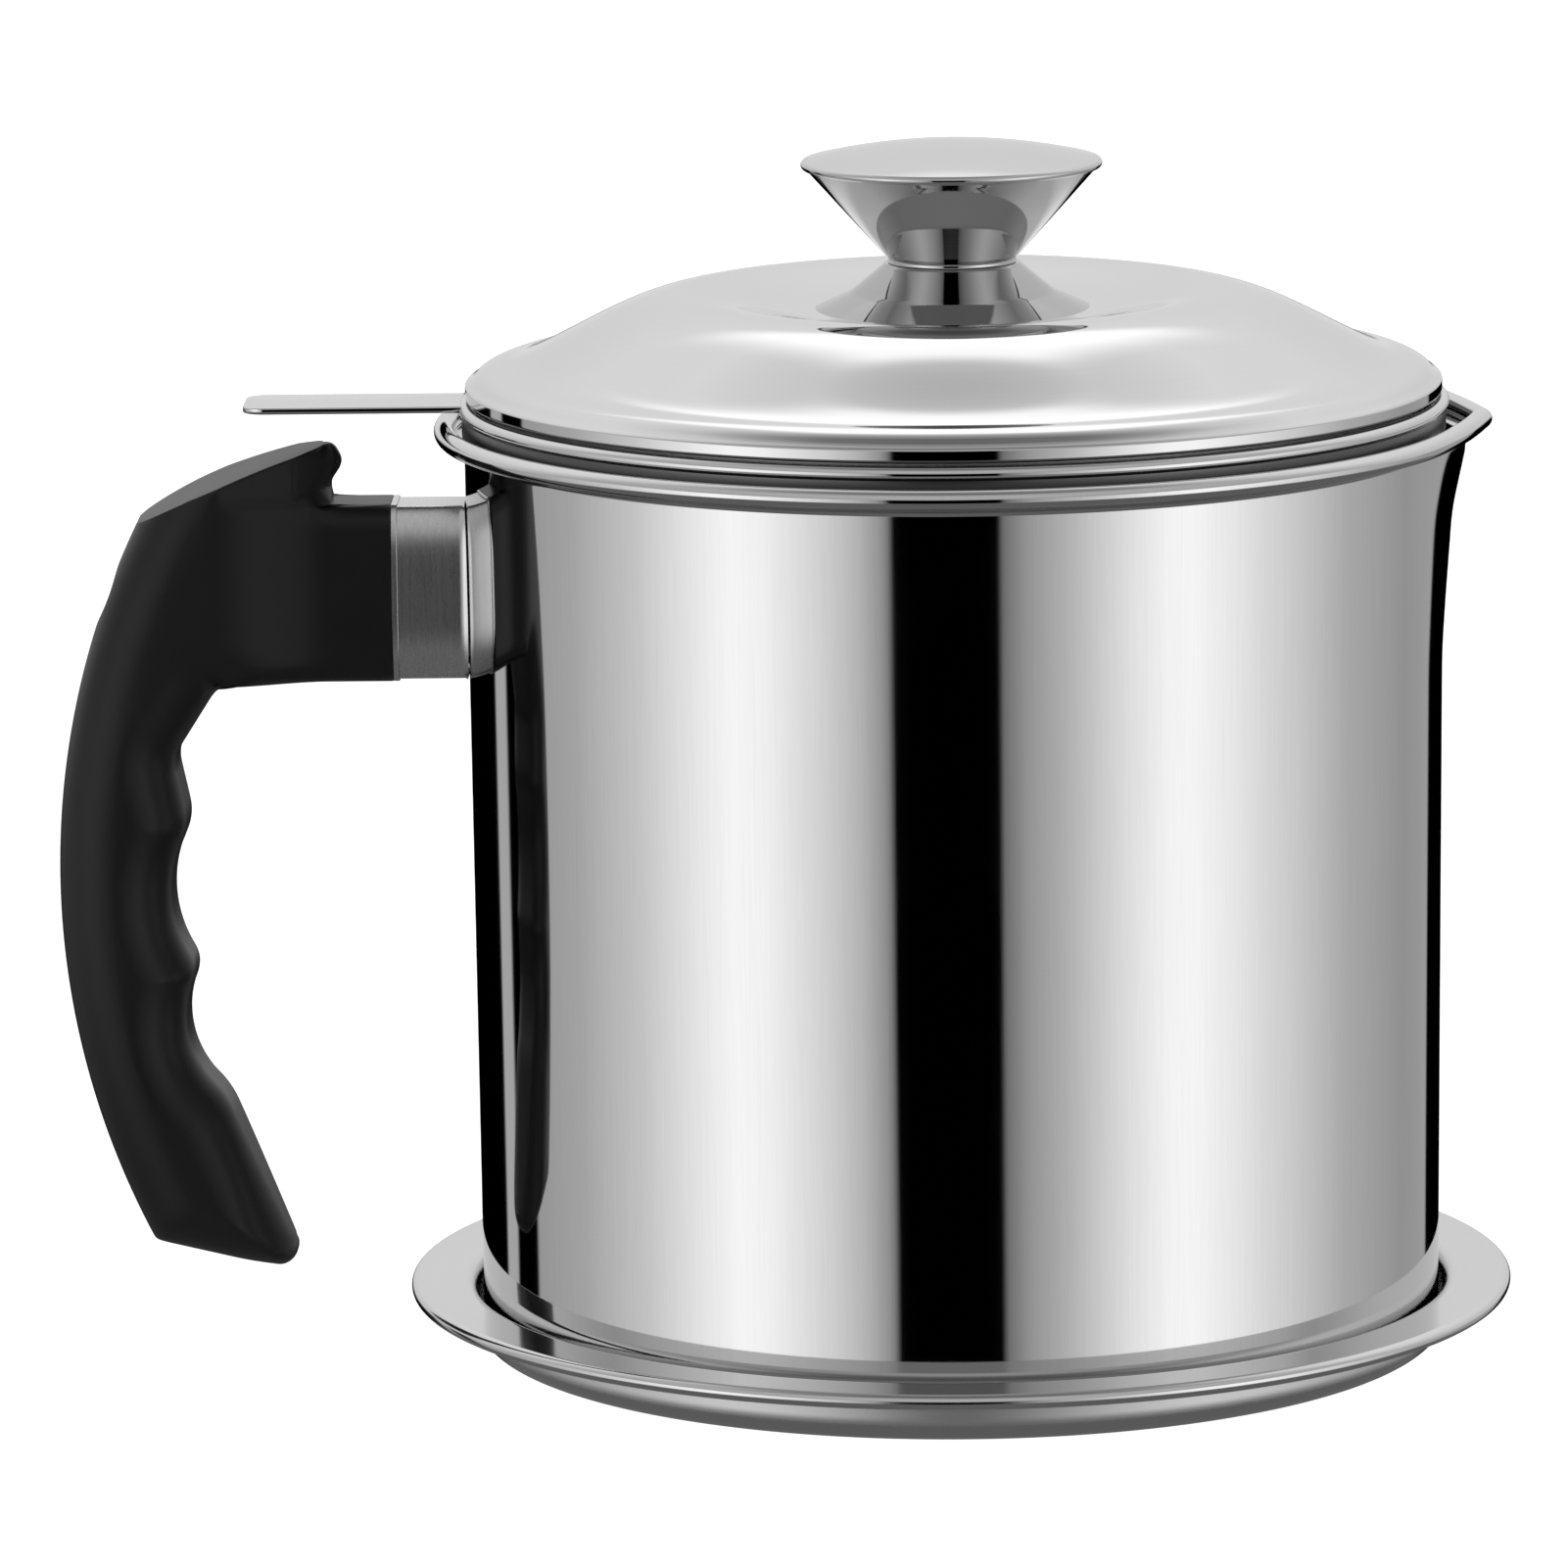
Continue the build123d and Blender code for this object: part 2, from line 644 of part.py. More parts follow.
with BuildPart() as handle_ferrule:
    with BuildSketch(arm_plane):
        oblong(-ferrule_lip)
    extrude(amount=ferrule_lip_length)
    for inset, shape in ((0, Mode.ADD), (ferrule_sheet, Mode.SUBTRACT)):
        with BuildSketch(arm_plane):
            oblong(inset)
        extrude(amount=ferrule_straight, mode=shape)
        with BuildSketch(arm_plane.offset(ferrule_straight)):
            oblong(inset)
        extrude(amount=flare_start - cope_reach, taper=-ferrule_flare, mode=shape)
    with Locations((0, 0, cope_low)):
        Cone(*cope_radii, cope_height, align=above, mode=Mode.SUBTRACT)
handle_ferrule.part.label = "handle_ferrule"
export_step(handle_ferrule.part, "parts/handle_ferrule.step")

# ================================================================ handle_bracket
# Lipped channel spot-welded to the wall inside the ferrule; its web takes the handle screw.
bracket_width = ferrule_width - 2 * ferrule_sheet - 2 * lift_gap
bracket_bore = bracket_width - 2 * bracket_sheet
bracket_back = wall_radius(arm_height) + weld_gap + bracket_sheet
inwards = (Align.MIN, Align.CENTER)
with BuildPart() as handle_bracket:
    with BuildSketch(Plane.XY.offset(arm_height - bracket_height / 2)):
        with Locations((-bracket_reach, 0)):
            Rectangle(bracket_reach - cope_reach, bracket_width, align=inwards)
        with Locations((bracket_sheet - bracket_reach, 0)):
            hollow = bracket_reach - bracket_sheet - bracket_back
            Rectangle(hollow, bracket_bore, align=inwards, mode=Mode.SUBTRACT)
        with Locations((-bracket_back, 0)):
            slot_width = bracket_bore - 2 * bracket_lip
            Rectangle(bracket_back - cope_reach, slot_width, align=inwards, mode=Mode.SUBTRACT)
    extrude(amount=bracket_height)
    with BuildSketch(arm_plane.offset(tenon_length)):
        Circle(screw_hole)
    extrude(amount=bracket_sheet, mode=Mode.SUBTRACT)
    with Locations((0, 0, cope_low)):
        Cone(*cope_radii, cope_height, align=above, mode=Mode.SUBTRACT)
handle_bracket.part.label = "handle_bracket"
export_step(handle_bracket.part, "parts/handle_bracket.step")

# ================================================================ bracket_nut
# Weld nut behind the bracket's web.
bracket_web = tenon_length + bracket_sheet
with BuildPart() as bracket_nut:
    hexagon_nut(arm_plane.offset(bracket_web))
bracket_nut.part.label = "bracket_nut"
export_step(bracket_nut.part, "parts/bracket_nut.step")

# ================================================================ handle_washer
# In the grip's counterbore, under the screw's head.
with BuildPart() as handle_washer:
    plain_washer(arm_plane.offset(-grip_screw_depth - washer_thickness))
handle_washer.part.label = "handle_washer"
export_step(handle_washer.part, "parts/handle_washer.step")

# ================================================================ handle_screw
# Long pan-head screw that draws the grip and the ferrule against the bracket.
screw_seat_depth = grip_screw_depth + washer_thickness
with BuildPart() as handle_screw:
    pan_screw(
        arm_plane.offset(-screw_seat_depth),
        screw_seat_depth + bracket_web + nut_height + screw_overrun,
    )
handle_screw.part.label = "handle_screw"
export_step(handle_screw.part, "parts/handle_screw.step")

# ================================================================ handle_grip
# Moulded grip: a bow with a rounded back, three finger grooves and a bevelled toe; the arm runs
# into the ferrule with a tenon, and the nose above it is cut slanting as a thumb rest.
grip_half = grip_width / 2
arm_half = ferrule_width / 2 + grip_margin
arm_edge = ferrule_height / 2 + grip_margin
bow_centre = (grip_apex[0] - grip_back_radius, grip_apex[1])
side_plane = Plane(origin=(-ferrule_front, 0, arm_height), x_dir=(-1, 0, 0), z_dir=(0, 1, 0))
bow_axis = Axis((-ferrule_front - bow_centre[0], 0, arm_height + bow_centre[1]), (0, 1, 0))
widening_end = arm_length + arm_widening


def back_point(height):
    """A point of the grip's round back, at a height from the handle screw's line."""
    return (bow_centre[0] + sqrt(grip_back_radius ** 2 - (height - grip_apex[1]) ** 2), height)


def outside_plan(base, cheek):
    """What lies beside the grip's plan, on a level plane; the two cheeks narrow by a curve."""
    shoulder = -ferrule_front - widening_end
    with BuildSketch(base) as waste:
        with Locations((-ferrule_front, 0)):
            Rectangle(2 * widening_end, 4 * grip_width)
        with BuildSketch(mode=Mode.SUBTRACT):
            with BuildLine():
                cheek(1, (shoulder, grip_half))
                cheek(-1, (shoulder, -grip_half))
                Polyline(
                    (shoulder, grip_half),
                    (shoulder - grip_width, grip_half),
                    (shoulder - grip_width, -grip_half),
                    (shoulder, -grip_half),
                )
            make_face()
    return waste.sketch


def arm_cheek(side, shoulder):
    """One side of the arm in plan: straight behind the ferrule, then widening smoothly."""
    corner = (-ferrule_front - arm_length, side * arm_half)
    Spline(shoulder, corner, tangents=[(1, 0), (1, 0)])
    Polyline(corner, (-bracket_reach, side * arm_half), (-bracket_reach, 0))


def nose_cheek_line(side, shoulder):
    """One side of the nose in plan: an arc that meets the other side in a blunt point."""
    cheek_point = (-ferrule_front - nose_cheek[0], side * nose_cheek[1])
    ThreePointArc(shoulder, cheek_point, (-ferrule_front - nose_tip[0], 0))


with BuildPart() as handle_grip:
    with BuildSketch(side_plane):
        with BuildLine():
            stock_back = back_point(thumb_stock)
            FilletPolyline(
                (0, arm_edge),
                (nose_notch[0], arm_edge),
                nose_notch,
                nose_tip,
                (thumb_line[0][0] + nose_tip[0], thumb_stock),
                stock_back,
                radius=[arm_corner, arm_corner, arm_corner, arm_corner],
            )
            heel = back_point(grip_heel_height)
            ThreePointArc(stock_back, grip_apex, heel)
            FilletPolyline(heel, grip_toe, finger_crests[0], radius=[grip_toe_round])
            groove_tops = finger_crests[1:] + [(arm_root, -arm_edge)]
            for crest, valley, groove_top in zip(finger_crests, finger_valleys, groove_tops):
                ThreePointArc(crest, valley, groove_top)
            Polyline((arm_root, -arm_edge), (0, -arm_edge), (0, arm_edge))
        make_face()
        crest_spots = finger_crests + [(arm_root, -arm_edge)]
        crest_corners = vertices().filter_by(
            lambda corner: any(
                abs(corner.X - spot[0]) + abs(corner.Y - spot[1]) < weld_gap for spot in crest_spots
            )
        )
        fillet(crest_corners, radius=grip_crest_round)
    extrude(amount=grip_half, both=True)
    finger_edges = (
        edges()
        .filter_by(lambda edge: abs((edge @ 0).Y - (edge @ 1).Y) < lift_gap)
        .filter_by(lambda edge: (edge @ 0.5).Z < arm_height - arm_edge + lift_gap)
        .filter_by(lambda edge: (edge @ 0.5).X > -ferrule_front - finger_valleys[1][0] - lift_gap)
    )
    fillet(finger_edges, radius=grip_edge_round)
    bow_plane = Plane(origin=bow_axis.position, x_dir=(-1, 0, 0), z_dir=(0, 0, 1))
    with BuildSketch(bow_plane):
        with Locations((grip_back_radius, 0)):
            Rectangle(grip_back_radius - grip_width, grip_width, align=(Align.MAX, Align.CENTER))
        fillet(vertices().group_by(Axis.X)[-1], radius=grip_back_round)
    revolve(axis=bow_axis, mode=Mode.INTERSECT)
    arm_base = arm_height - ferrule_height      # the toe below keeps the grip's full width
    nose_base = arm_height + nose_base_height
    beside_arm = outside_plan(Plane.XY.offset(arm_base), arm_cheek)
    extrude(beside_arm, amount=nose_base - arm_base, mode=Mode.SUBTRACT)
    beside_nose = outside_plan(Plane.XY.offset(nose_base), nose_cheek_line)
    extrude(beside_nose, amount=thumb_stock, mode=Mode.SUBTRACT)
    with BuildSketch(side_plane):
        with BuildLine():
            ThreePointArc(*thumb_line)
            Polyline(
                thumb_line[2],
                (thumb_line[2][0], 2 * thumb_stock),
                (thumb_line[0][0], 2 * thumb_stock),
                thumb_line[0],
            )
        make_face()
    extrude(amount=grip_width, both=True, mode=Mode.SUBTRACT)
    with BuildSketch(arm_plane):
        oblong(ferrule_sheet + tenon_gap)
    extrude(amount=tenon_length)
    with BuildSketch(arm_plane.offset(tenon_length)):
        Circle(screw_hole)
    extrude(amount=-tenon_length - grip_screw_depth, mode=Mode.SUBTRACT)
    with BuildSketch(arm_plane.offset(-grip_screw_depth)):
        Circle(washer_radius + hole_gap)
    extrude(amount=-grip_apex[0], mode=Mode.SUBTRACT)
handle_grip.part.label = "handle_grip"
export_step(handle_grip.part, "parts/handle_grip.step")
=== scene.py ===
"""Looks of the bacon grease container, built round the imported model.

Sizes are in millimetres and become metres where a mesh is made.  +Z is up, the origin is the
centre of the tray's underside, the pouring lip points to +X and both handles point to -X.
"""

import bmesh
import bpy
import numpy as np
from mathutils import Matrix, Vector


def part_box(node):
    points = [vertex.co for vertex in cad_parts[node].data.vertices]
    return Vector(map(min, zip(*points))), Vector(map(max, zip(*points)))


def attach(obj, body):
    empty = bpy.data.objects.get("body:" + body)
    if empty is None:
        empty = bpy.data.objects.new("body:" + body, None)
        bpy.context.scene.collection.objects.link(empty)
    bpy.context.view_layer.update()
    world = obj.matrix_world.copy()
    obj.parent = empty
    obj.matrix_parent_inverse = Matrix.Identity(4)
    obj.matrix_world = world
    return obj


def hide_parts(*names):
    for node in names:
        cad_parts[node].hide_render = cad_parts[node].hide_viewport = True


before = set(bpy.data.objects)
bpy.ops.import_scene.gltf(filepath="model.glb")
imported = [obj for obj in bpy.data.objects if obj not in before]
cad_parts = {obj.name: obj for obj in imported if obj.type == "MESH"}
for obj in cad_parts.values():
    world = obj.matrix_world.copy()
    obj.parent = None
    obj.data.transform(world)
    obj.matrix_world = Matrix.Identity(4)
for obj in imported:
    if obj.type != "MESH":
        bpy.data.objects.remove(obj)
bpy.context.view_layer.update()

# ---------------------------------------------------------------- studio
# A pale floor inside a large soft tent.  The tent is the only light: two bright panels with a
# dark gap between them stand beside the camera, pale cloth hangs behind with a brighter patch
# high up, and the top and the part below the floor are dark.
mm = 0.001
tent_radius = 10.0
floor_radius = 6.0
floor_drop = 0.00005
panel_tones = [
    (-180, 0.0), (-140.2, 0.0), (-139.6, 0.55), (-133.0, 0.55), (-132.4, 0.0), (-121.6, 0.0),
    (-121.0, 0.48), (-101, 0.60), (-80, 0.90), (-62, 1.33), (-53.6, 1.52), (-45.5, 1.44),
    (-29.8, 1.0), (-22.3, 0.74), (-15.6, 0.40), (-15.0, 0.0), (10.0, 0.0), (10.9, 0.24),
    (16.8, 0.49), (26, 0.72), (40.6, 1.2), (50.7, 1.48), (57, 1.51), (66.6, 1.34), (78, 1.10),
    (104.5, 0.64), (131.5, 0.44), (149.0, 0.46), (149.8, 0.0), (180, 0.0),
]
overhead_tones = [
    (-30, 0.75), (6, 0.79), (16, 0.88), (30, 1.02), (45, 1.08), (58, 0.92), (66, 0.64),
    (74, 0.42), (90, 0.32),
]
patch_glow = 0.60
front_share = 0.6
below_glow = 0.16


class Signal:
    """One socket of a material's nodes; arithmetic on it adds Math nodes."""

    def __init__(self, finish, socket):
        self.finish = finish
        self.socket = socket

    def _math(self, operation, first, second):
        return self.finish.node("ShaderNodeMath", {"operation": operation}, {0: first, 1: second})

    def __add__(self, other):
        return self._math("ADD", self, other)

    __radd__ = __add__

    def __sub__(self, other):
        return self._math("SUBTRACT", self, other)

    def __rsub__(self, other):
        return self._math("SUBTRACT", other, self)

    def __mul__(self, other):
        return self._math("MULTIPLY", self, other)

    __rmul__ = __mul__

    def __truediv__(self, other):
        return self._math("DIVIDE", self, other)


class Finish:
    """A material whose nodes are being laid."""

    def __init__(self, name):
        self.material = bpy.data.materials.new(name)
        self.material.use_nodes = True
        self.tree = self.material.node_tree
        self.tree.nodes.clear()

    def node(self, kind, settings=None, values=None, output=0):
        """Adds a node: its settings are set first, then the values or links of its sockets."""
        made = self.tree.nodes.new(kind)
        for name, setting in (settings or {}).items():
            if name == "stops":
                self._set_stops(made.color_ramp, setting)
            else:
                setattr(made, name, setting)
        for place, value in (values or {}).items():
            if isinstance(value, Signal):
                self.tree.links.new(value.socket, made.inputs[place])
            else:
                made.inputs[place].default_value = value
        return Signal(self, made.outputs[output]) if made.outputs else made

    def _set_stops(self, ramp, stops):
        """Grey stops of a colour ramp, as (place, tone)."""
        while len(ramp.elements) < len(stops):
            ramp.elements.new(1.0)
        for element, (place, tone) in zip(ramp.elements, stops):
            element.position = place
            element.color = (tone, tone, tone, 1)

    def step(self, signal, low, high):
        """Rises smoothly from 0 at low to 1 at high."""
        return self.node(
            "ShaderNodeMapRange",
            {"interpolation_type": "SMOOTHSTEP"},
            {"Value": signal, "From Min": low, "From Max": high},
        )

    def graph(self, signal, points):
        """A line through (angle, tone) points; a ramp holds the tones below 1, so it is scaled."""
        first, last = points[0][0], points[-1][0]
        peak = max(tone for _, tone in points)
        stops = [((angle - first) / (last - first), tone / peak) for angle, tone in points]
        place = (signal - first) / (last - first)
        return self.node("ShaderNodeValToRGB", {"stops": stops}, {"Fac": place}) * peak

    def place(self):
        """Object coordinates as three signals, in metres."""
        spot = self.node("ShaderNodeTexCoord", output=3)
        return [self.node("ShaderNodeSeparateXYZ", None, {0: spot}, axis) for axis in range(3)]

    def noise(self, scale, detail, spot=None):
        """Soft noise from 0 to 1 over the object coordinates, or over another vector."""
        spot = spot or self.node("ShaderNodeTexCoord", output=3)
        return self.node(
            "ShaderNodeTexNoise", None, {"Vector": spot, "Scale": scale, "Detail": detail}
        )

    def grey(self, shade, blue=1.0):
        """A grey of one shade; blue below or above 1 warms or cools it."""
        return self.node("ShaderNodeCombineColor", None, {0: shade, 1: shade, 2: shade * blue})

    def bump(self, relief, strength):
        """The surface direction that a relief in metres gives."""
        return self.node(
            "ShaderNodeBump", None, {"Strength": strength, "Distance": 1.0, "Height": relief}
        )

    def show(self, shader):
        self.node("ShaderNodeOutputMaterial", None, {"Surface": shader})
        return self.material


def add_piece(name, points, faces, sharp=35):
    """A mesh piece: equal points are merged, faces turned outwards, edges sharp past an angle."""
    mesh = bpy.data.meshes.new(name)
    mesh.from_pydata(points, [], faces)
    form = bmesh.new()
    form.from_mesh(mesh)
    bmesh.ops.remove_doubles(form, verts=form.verts, dist=2e-7)
    bmesh.ops.recalc_face_normals(form, faces=form.faces)
    form.to_mesh(mesh)
    form.free()
    mesh.shade_smooth()
    mesh.set_sharp_from_angle(angle=np.radians(sharp))
    piece = bpy.data.objects.new(name, mesh)
    bpy.context.scene.collection.objects.link(piece)
    return piece


def grid_faces(rows, columns, wrap_rows=False, wrap_columns=False):
    """The four-sided faces of a grid of points, numbered along its columns first."""
    first = np.arange(rows if wrap_rows else rows - 1)[:, None]
    second = np.arange(columns if wrap_columns else columns - 1)[None, :]
    below, beside = (first + 1) % rows, (second + 1) % columns
    corners = (
        first * columns + second,
        below * columns + second,
        below * columns + beside,
        first * columns + beside,
    )
    return np.stack([corner.ravel() for corner in corners], axis=1)


tent_columns, tent_rows = 96, 49
turn = np.radians(np.linspace(-180, 180, tent_columns + 1))[:-1]
rise = np.radians(np.linspace(-90, 90, tent_rows))
dome = np.stack(
    [
        np.cos(rise)[:, None] * np.cos(turn)[None, :],
        np.cos(rise)[:, None] * np.sin(turn)[None, :],
        np.sin(rise)[:, None] * np.ones(len(turn))[None, :],
    ],
    axis=-1,
)
tent = add_piece(
    "tent",
    tent_radius * dome.reshape(-1, 3),
    grid_faces(tent_rows, tent_columns, wrap_columns=True),
    sharp=180,
)
cloth = Finish("tent_cloth")
x, y, z = cloth.place()
degrees = 180 / np.pi
bearing = cloth.node("ShaderNodeMath", {"operation": "ARCTAN2"}, {0: x, 1: -1 * y}) * degrees
height_sine = z / tent_radius
height_angle = cloth.node("ShaderNodeMath", {"operation": "ARCSINE"}, {0: height_sine}) * degrees
side_angle = cloth.node("ShaderNodeMath", {"operation": "ABSOLUTE"}, {0: bearing})
behind = cloth.step(side_angle, 80, 125)
above = cloth.step(height_angle - (14 - 18 * behind), -3, 3)
patch = cloth.step(height_angle, 30, 38) * (1 - cloth.step(height_angle, 55, 61))
overhead = (
    cloth.graph(height_angle, overhead_tones) * (front_share + (1 - front_share) * behind)
    + patch_glow * patch * cloth.step(side_angle, 158, 171)
)
level = cloth.graph(bearing, panel_tones) * (1 - above) + overhead * above
low = cloth.step(height_angle, -26, -17)
glow = level * low + below_glow * (1 - low)
tent.data.materials.append(
    cloth.show(cloth.node("ShaderNodeEmission", None, {"Color": (1, 1, 1, 1), "Strength": glow}))
)
tent.data.materials[0].cycles.emission_sampling = "NONE"
tent.visible_camera = False

floor_ring = np.radians(np.linspace(0, 360, 65))[:-1]
floor_circle = np.stack([np.cos(floor_ring), np.sin(floor_ring), 0 * floor_ring], axis=1)
floor_edge = floor_circle * floor_radius - [0, 0, floor_drop]
floor = add_piece("floor", floor_edge, [list(range(len(floor_ring)))])
card = Finish("floor_card")
speckle = card.node("ShaderNodeTexNoise", None, {"Scale": 40.0, "Detail": 3.0})
floor.data.materials.append(
    card.show(
        card.node(
            "ShaderNodeBsdfPrincipled",
            None,
            {
                "Base Color": (0.3, 0.3, 0.3, 1),
                "Roughness": 0.55 + 0.1 * speckle,
                "Specular IOR Level": 0.0,
                "Emission Color": (1, 1, 1, 1),
                "Emission Strength": 0.98,
            },
        )
    )
)
floor.data.materials[0].cycles.emission_sampling = "NONE"
floor.visible_glossy = False

world = bpy.data.worlds.new("studio")
world.use_nodes = True
world.node_tree.nodes["Background"].inputs["Color"].default_value = (1, 1, 1, 1)
world.node_tree.nodes["Background"].inputs["Strength"].default_value = 1.0
bpy.context.scene.world = world
bpy.context.scene.view_settings.view_transform = "Standard"

# ---------------------------------------------------------------- camera
# A long lens in front of the pot and a little above it, turned and tilted by a degree or less.
camera_spot = np.array([0.0, -1.400, 0.3305])
camera_yaw, camera_pitch, camera_roll = np.radians([-0.95, 10.33, -0.66])
frame_pixels = 1601
focal_pixels = 10802.66
forward = np.array([
    np.sin(camera_yaw) * np.cos(camera_pitch),
    np.cos(camera_yaw) * np.cos(camera_pitch),
    -np.sin(camera_pitch),
])
level_right = np.array([np.cos(camera_yaw), -np.sin(camera_yaw), 0.0])
level_up = np.cross(level_right, forward)
right = np.cos(camera_roll) * level_right + np.sin(camera_roll) * level_up
up = np.cos(camera_roll) * level_up - np.sin(camera_roll) * level_right
view = bpy.data.cameras.new("studio_camera")
view.sensor_fit = "HORIZONTAL"
view.lens = view.sensor_width * focal_pixels / frame_pixels
view.clip_end = 100
camera = bpy.data.objects.new("studio_camera", view)
camera.matrix_world = Matrix.Translation(camera_spot) @ Matrix(
    np.stack([right, up, -forward], axis=1).tolist()
).to_4x4()
bpy.context.scene.collection.objects.link(camera)
bpy.context.scene.camera = camera

# ---------------------------------------------------------------- drip tray
# One pressing of stainless sheet, polished all over: a flat floor, a shallow well and a wide
# flange whose edge is curled under.
tray_sheet = 0.6
tray_corner = 3.5
tray_bend = 1.4
tray_curl = 1.0
tray_flange = 8.4
tray_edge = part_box("base_tray")[1].y / mm
tray_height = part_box("base_tray")[1].z / mm


def arc(centre, radius, start, end, step=5):
    """Points on a circle about a centre, from one angle to another in degrees."""
    turns = np.radians(np.linspace(start, end, int(abs(end - start) / step) + 2))
    return np.stack([centre[0] + radius * np.cos(turns), centre[1] + radius * np.sin(turns)], axis=1)


def arc_through(start, middle, end, count=24):
    """An arc through three points, about the centre that is equally far from all of them."""
    start, middle, end = (np.array(point, float) for point in (start, middle, end))
    chords = 2 * np.array([middle - start, end - start])
    squares = [middle @ middle - start @ start, end @ end - start @ start]
    centre = np.linalg.solve(chords, squares)
    angles = [np.arctan2(*(point - centre)[::-1]) for point in (start, middle, end)]
    sweep = (angles[2] - angles[0]) % (2 * np.pi)
    if (angles[1] - angles[0]) % (2 * np.pi) > sweep:
        sweep -= 2 * np.pi
    turns = angles[0] + np.linspace(0, sweep, count)
    radius = np.linalg.norm(start - centre)
    return np.stack([centre[0] + radius * np.cos(turns), centre[1] + radius * np.sin(turns)], axis=1)


def bent(points, radii, step=5):
    """A bent sheet's outline: straight runs joined by arcs.

    Where two runs meet at a turn of t, the arc of radius r starts r times tan(t/2) before the
    corner, and its centre lies on the corner's bisector.
    """
    points = np.array(points, float)
    line = [points[:1]]
    for corner, before, after, radius in zip(points[1:-1], points[:-2], points[2:], radii):
        back = (before - corner) / np.linalg.norm(before - corner)
        ahead = (after - corner) / np.linalg.norm(after - corner)
        swing = np.arccos(np.clip(-back @ ahead, -1, 1))
        if radius == 0 or swing < 0.001:
            line.append(corner[None])
            continue
        middle = (back + ahead) / np.linalg.norm(back + ahead)
        centre = corner + middle * radius / np.cos(swing / 2)
        arm = corner + back * radius * np.tan(swing / 2) - centre
        side = np.sign(ahead[1] * -back[0] + ahead[0] * back[1])
        turns = side * np.linspace(0, swing, int(np.degrees(swing) / step) + 2)
        line.append(
            centre
            + np.stack(
                [
                    arm[0] * np.cos(turns) - arm[1] * np.sin(turns),
                    arm[0] * np.sin(turns) + arm[1] * np.cos(turns),
                ],
                axis=1,
            )
        )
    line.append(points[-1:])
    return np.concatenate(line)


def held(line, margin=0.08):
    """The same outline with a point close to each end of its flats, so that they shade flat.

    A flat is a run longer than four margins that is 2.5 times longer than the run before or
    after it, or that ends at a corner of more than 12 degrees; curves have neither.
    """
    line = np.asarray(line, float)
    along = np.diff(line, axis=0)
    lengths = np.maximum(np.linalg.norm(along, axis=1), 0.001)
    along = along / lengths[:, None]
    corner = (along[1:] * along[:-1]).sum(axis=1) < np.cos(np.radians(12))
    longer, shorter = lengths[1:] > 2.5 * lengths[:-1], lengths[:-1] > 2.5 * lengths[1:]
    flat = np.append(False, corner | longer) | np.append(corner | shorter, False)
    held_line = [line[:1]]
    for start, end, ahead, length, is_flat in zip(line[:-1], line[1:], along, lengths, flat):
        if is_flat and length > 4 * margin:
            held_line.append(start + ahead * margin)
            held_line.append(end - ahead * margin)
        held_line.append(end)
    return np.concatenate([np.atleast_2d(part) for part in held_line])


def turned(name, outline, count=288, sharp=35):
    """A turned piece: an outline of (radius, height) in millimetres carried round the Z axis."""
    angles = np.linspace(0, 2 * np.pi, count, endpoint=False)
    radius, height = np.asarray(outline, float).T
    points = np.stack(
        [
            radius[:, None] * np.cos(angles),
            radius[:, None] * np.sin(angles),
            height[:, None] + 0 * angles,
        ],
        axis=-1,
    )
    faces = grid_faces(len(radius), count, wrap_columns=True)
    return add_piece(name, points.reshape(-1, 3) * mm, faces, sharp)


def polished_steel(name, lines="round", tone=0.60, streak=0.02, dull=0.02, satin=None, gap_shade=0):
    """Mirror-polished stainless sheet.

    Roughness: a base of dull, raised a little in faint buffing lines and in soft cloudy patches,
    and much more past a radius and below a height (satin, in metres) where nobody polishes;
    the gap_shade is how much of the tone is lost there, a painted shade for the dark gap
    between two parts.
    Bump: very shallow waves left by pressing, and the buffing lines.  The lines run round the
    axis on turned pieces ("round") and are noise of height and radius; on others they follow Z.
    """
    finish = Finish(name)
    x, y, z = finish.place()
    radius = finish.node("ShaderNodeMath", {"operation": "POWER"}, {0: x * x + y * y, 1: 0.5})
    across = (radius, z, 0.02 * x) if lines == "round" else (x, y, 0.02 * z)
    ruled = finish.node("ShaderNodeCombineXYZ", None, dict(enumerate(across)))
    buffing = finish.noise(2600.0, 3.0, ruled)
    cloud = finish.noise(38.0, 4.0)
    wave = finish.noise(14.0, 1.0)
    shade = tone + streak * (buffing - 0.5) + 0.02 * (cloud - 0.5)
    gloss = dull + 0.02 * buffing + 0.03 * cloud
    if satin:
        outer = finish.step(radius, satin[0], satin[0] + 0.0002)
        zone = outer * (1 - finish.step(z, satin[1], satin[1] + 0.0003))
        gloss = gloss + 0.26 * zone
        # Painted shade: in this zone the tone is darkened by gap_shade, standing for the shade in
        # the gap under a bead or an edge.
        shade = shade * (1 - gap_shade * zone)
    return finish.show(
        finish.node(
            "ShaderNodeBsdfPrincipled",
            None,
            {
                "Base Color": finish.grey(shade),
                "Metallic": 1.0,
                "Roughness": gloss,
                "Normal": finish.bump(buffing * 0.000001 + wave * 0.00001, 0.5),
            },
        )
    )


curl_centre = (tray_edge - tray_curl, tray_height - tray_curl)
curl_inside = tray_curl - tray_sheet
well_outside = tray_edge - tray_flange
flange_under = tray_height - tray_sheet
underside = bent(
    [(0, 0), (well_outside, 0), (well_outside, flange_under), (curl_centre[0], flange_under)],
    [tray_corner, tray_bend],
)
topside = bent(
    [
        (curl_centre[0], tray_height),
        (well_outside - tray_sheet, tray_height),
        (well_outside - tray_sheet, tray_sheet),
        (0, tray_sheet),
    ],
    [tray_bend + tray_sheet, tray_corner - tray_sheet],
)
drip_tray = turned(
    "drip_tray",
    held(np.concatenate([
        underside,
        arc(curl_centre, curl_inside, 90, -90, 15),
        arc(curl_centre, tray_curl, -90, 90),
        topside,
    ])),
    count=320,
)
satin_zone = ((well_outside - tray_sheet / 2) * mm, (tray_height - 2 * tray_curl) * mm)
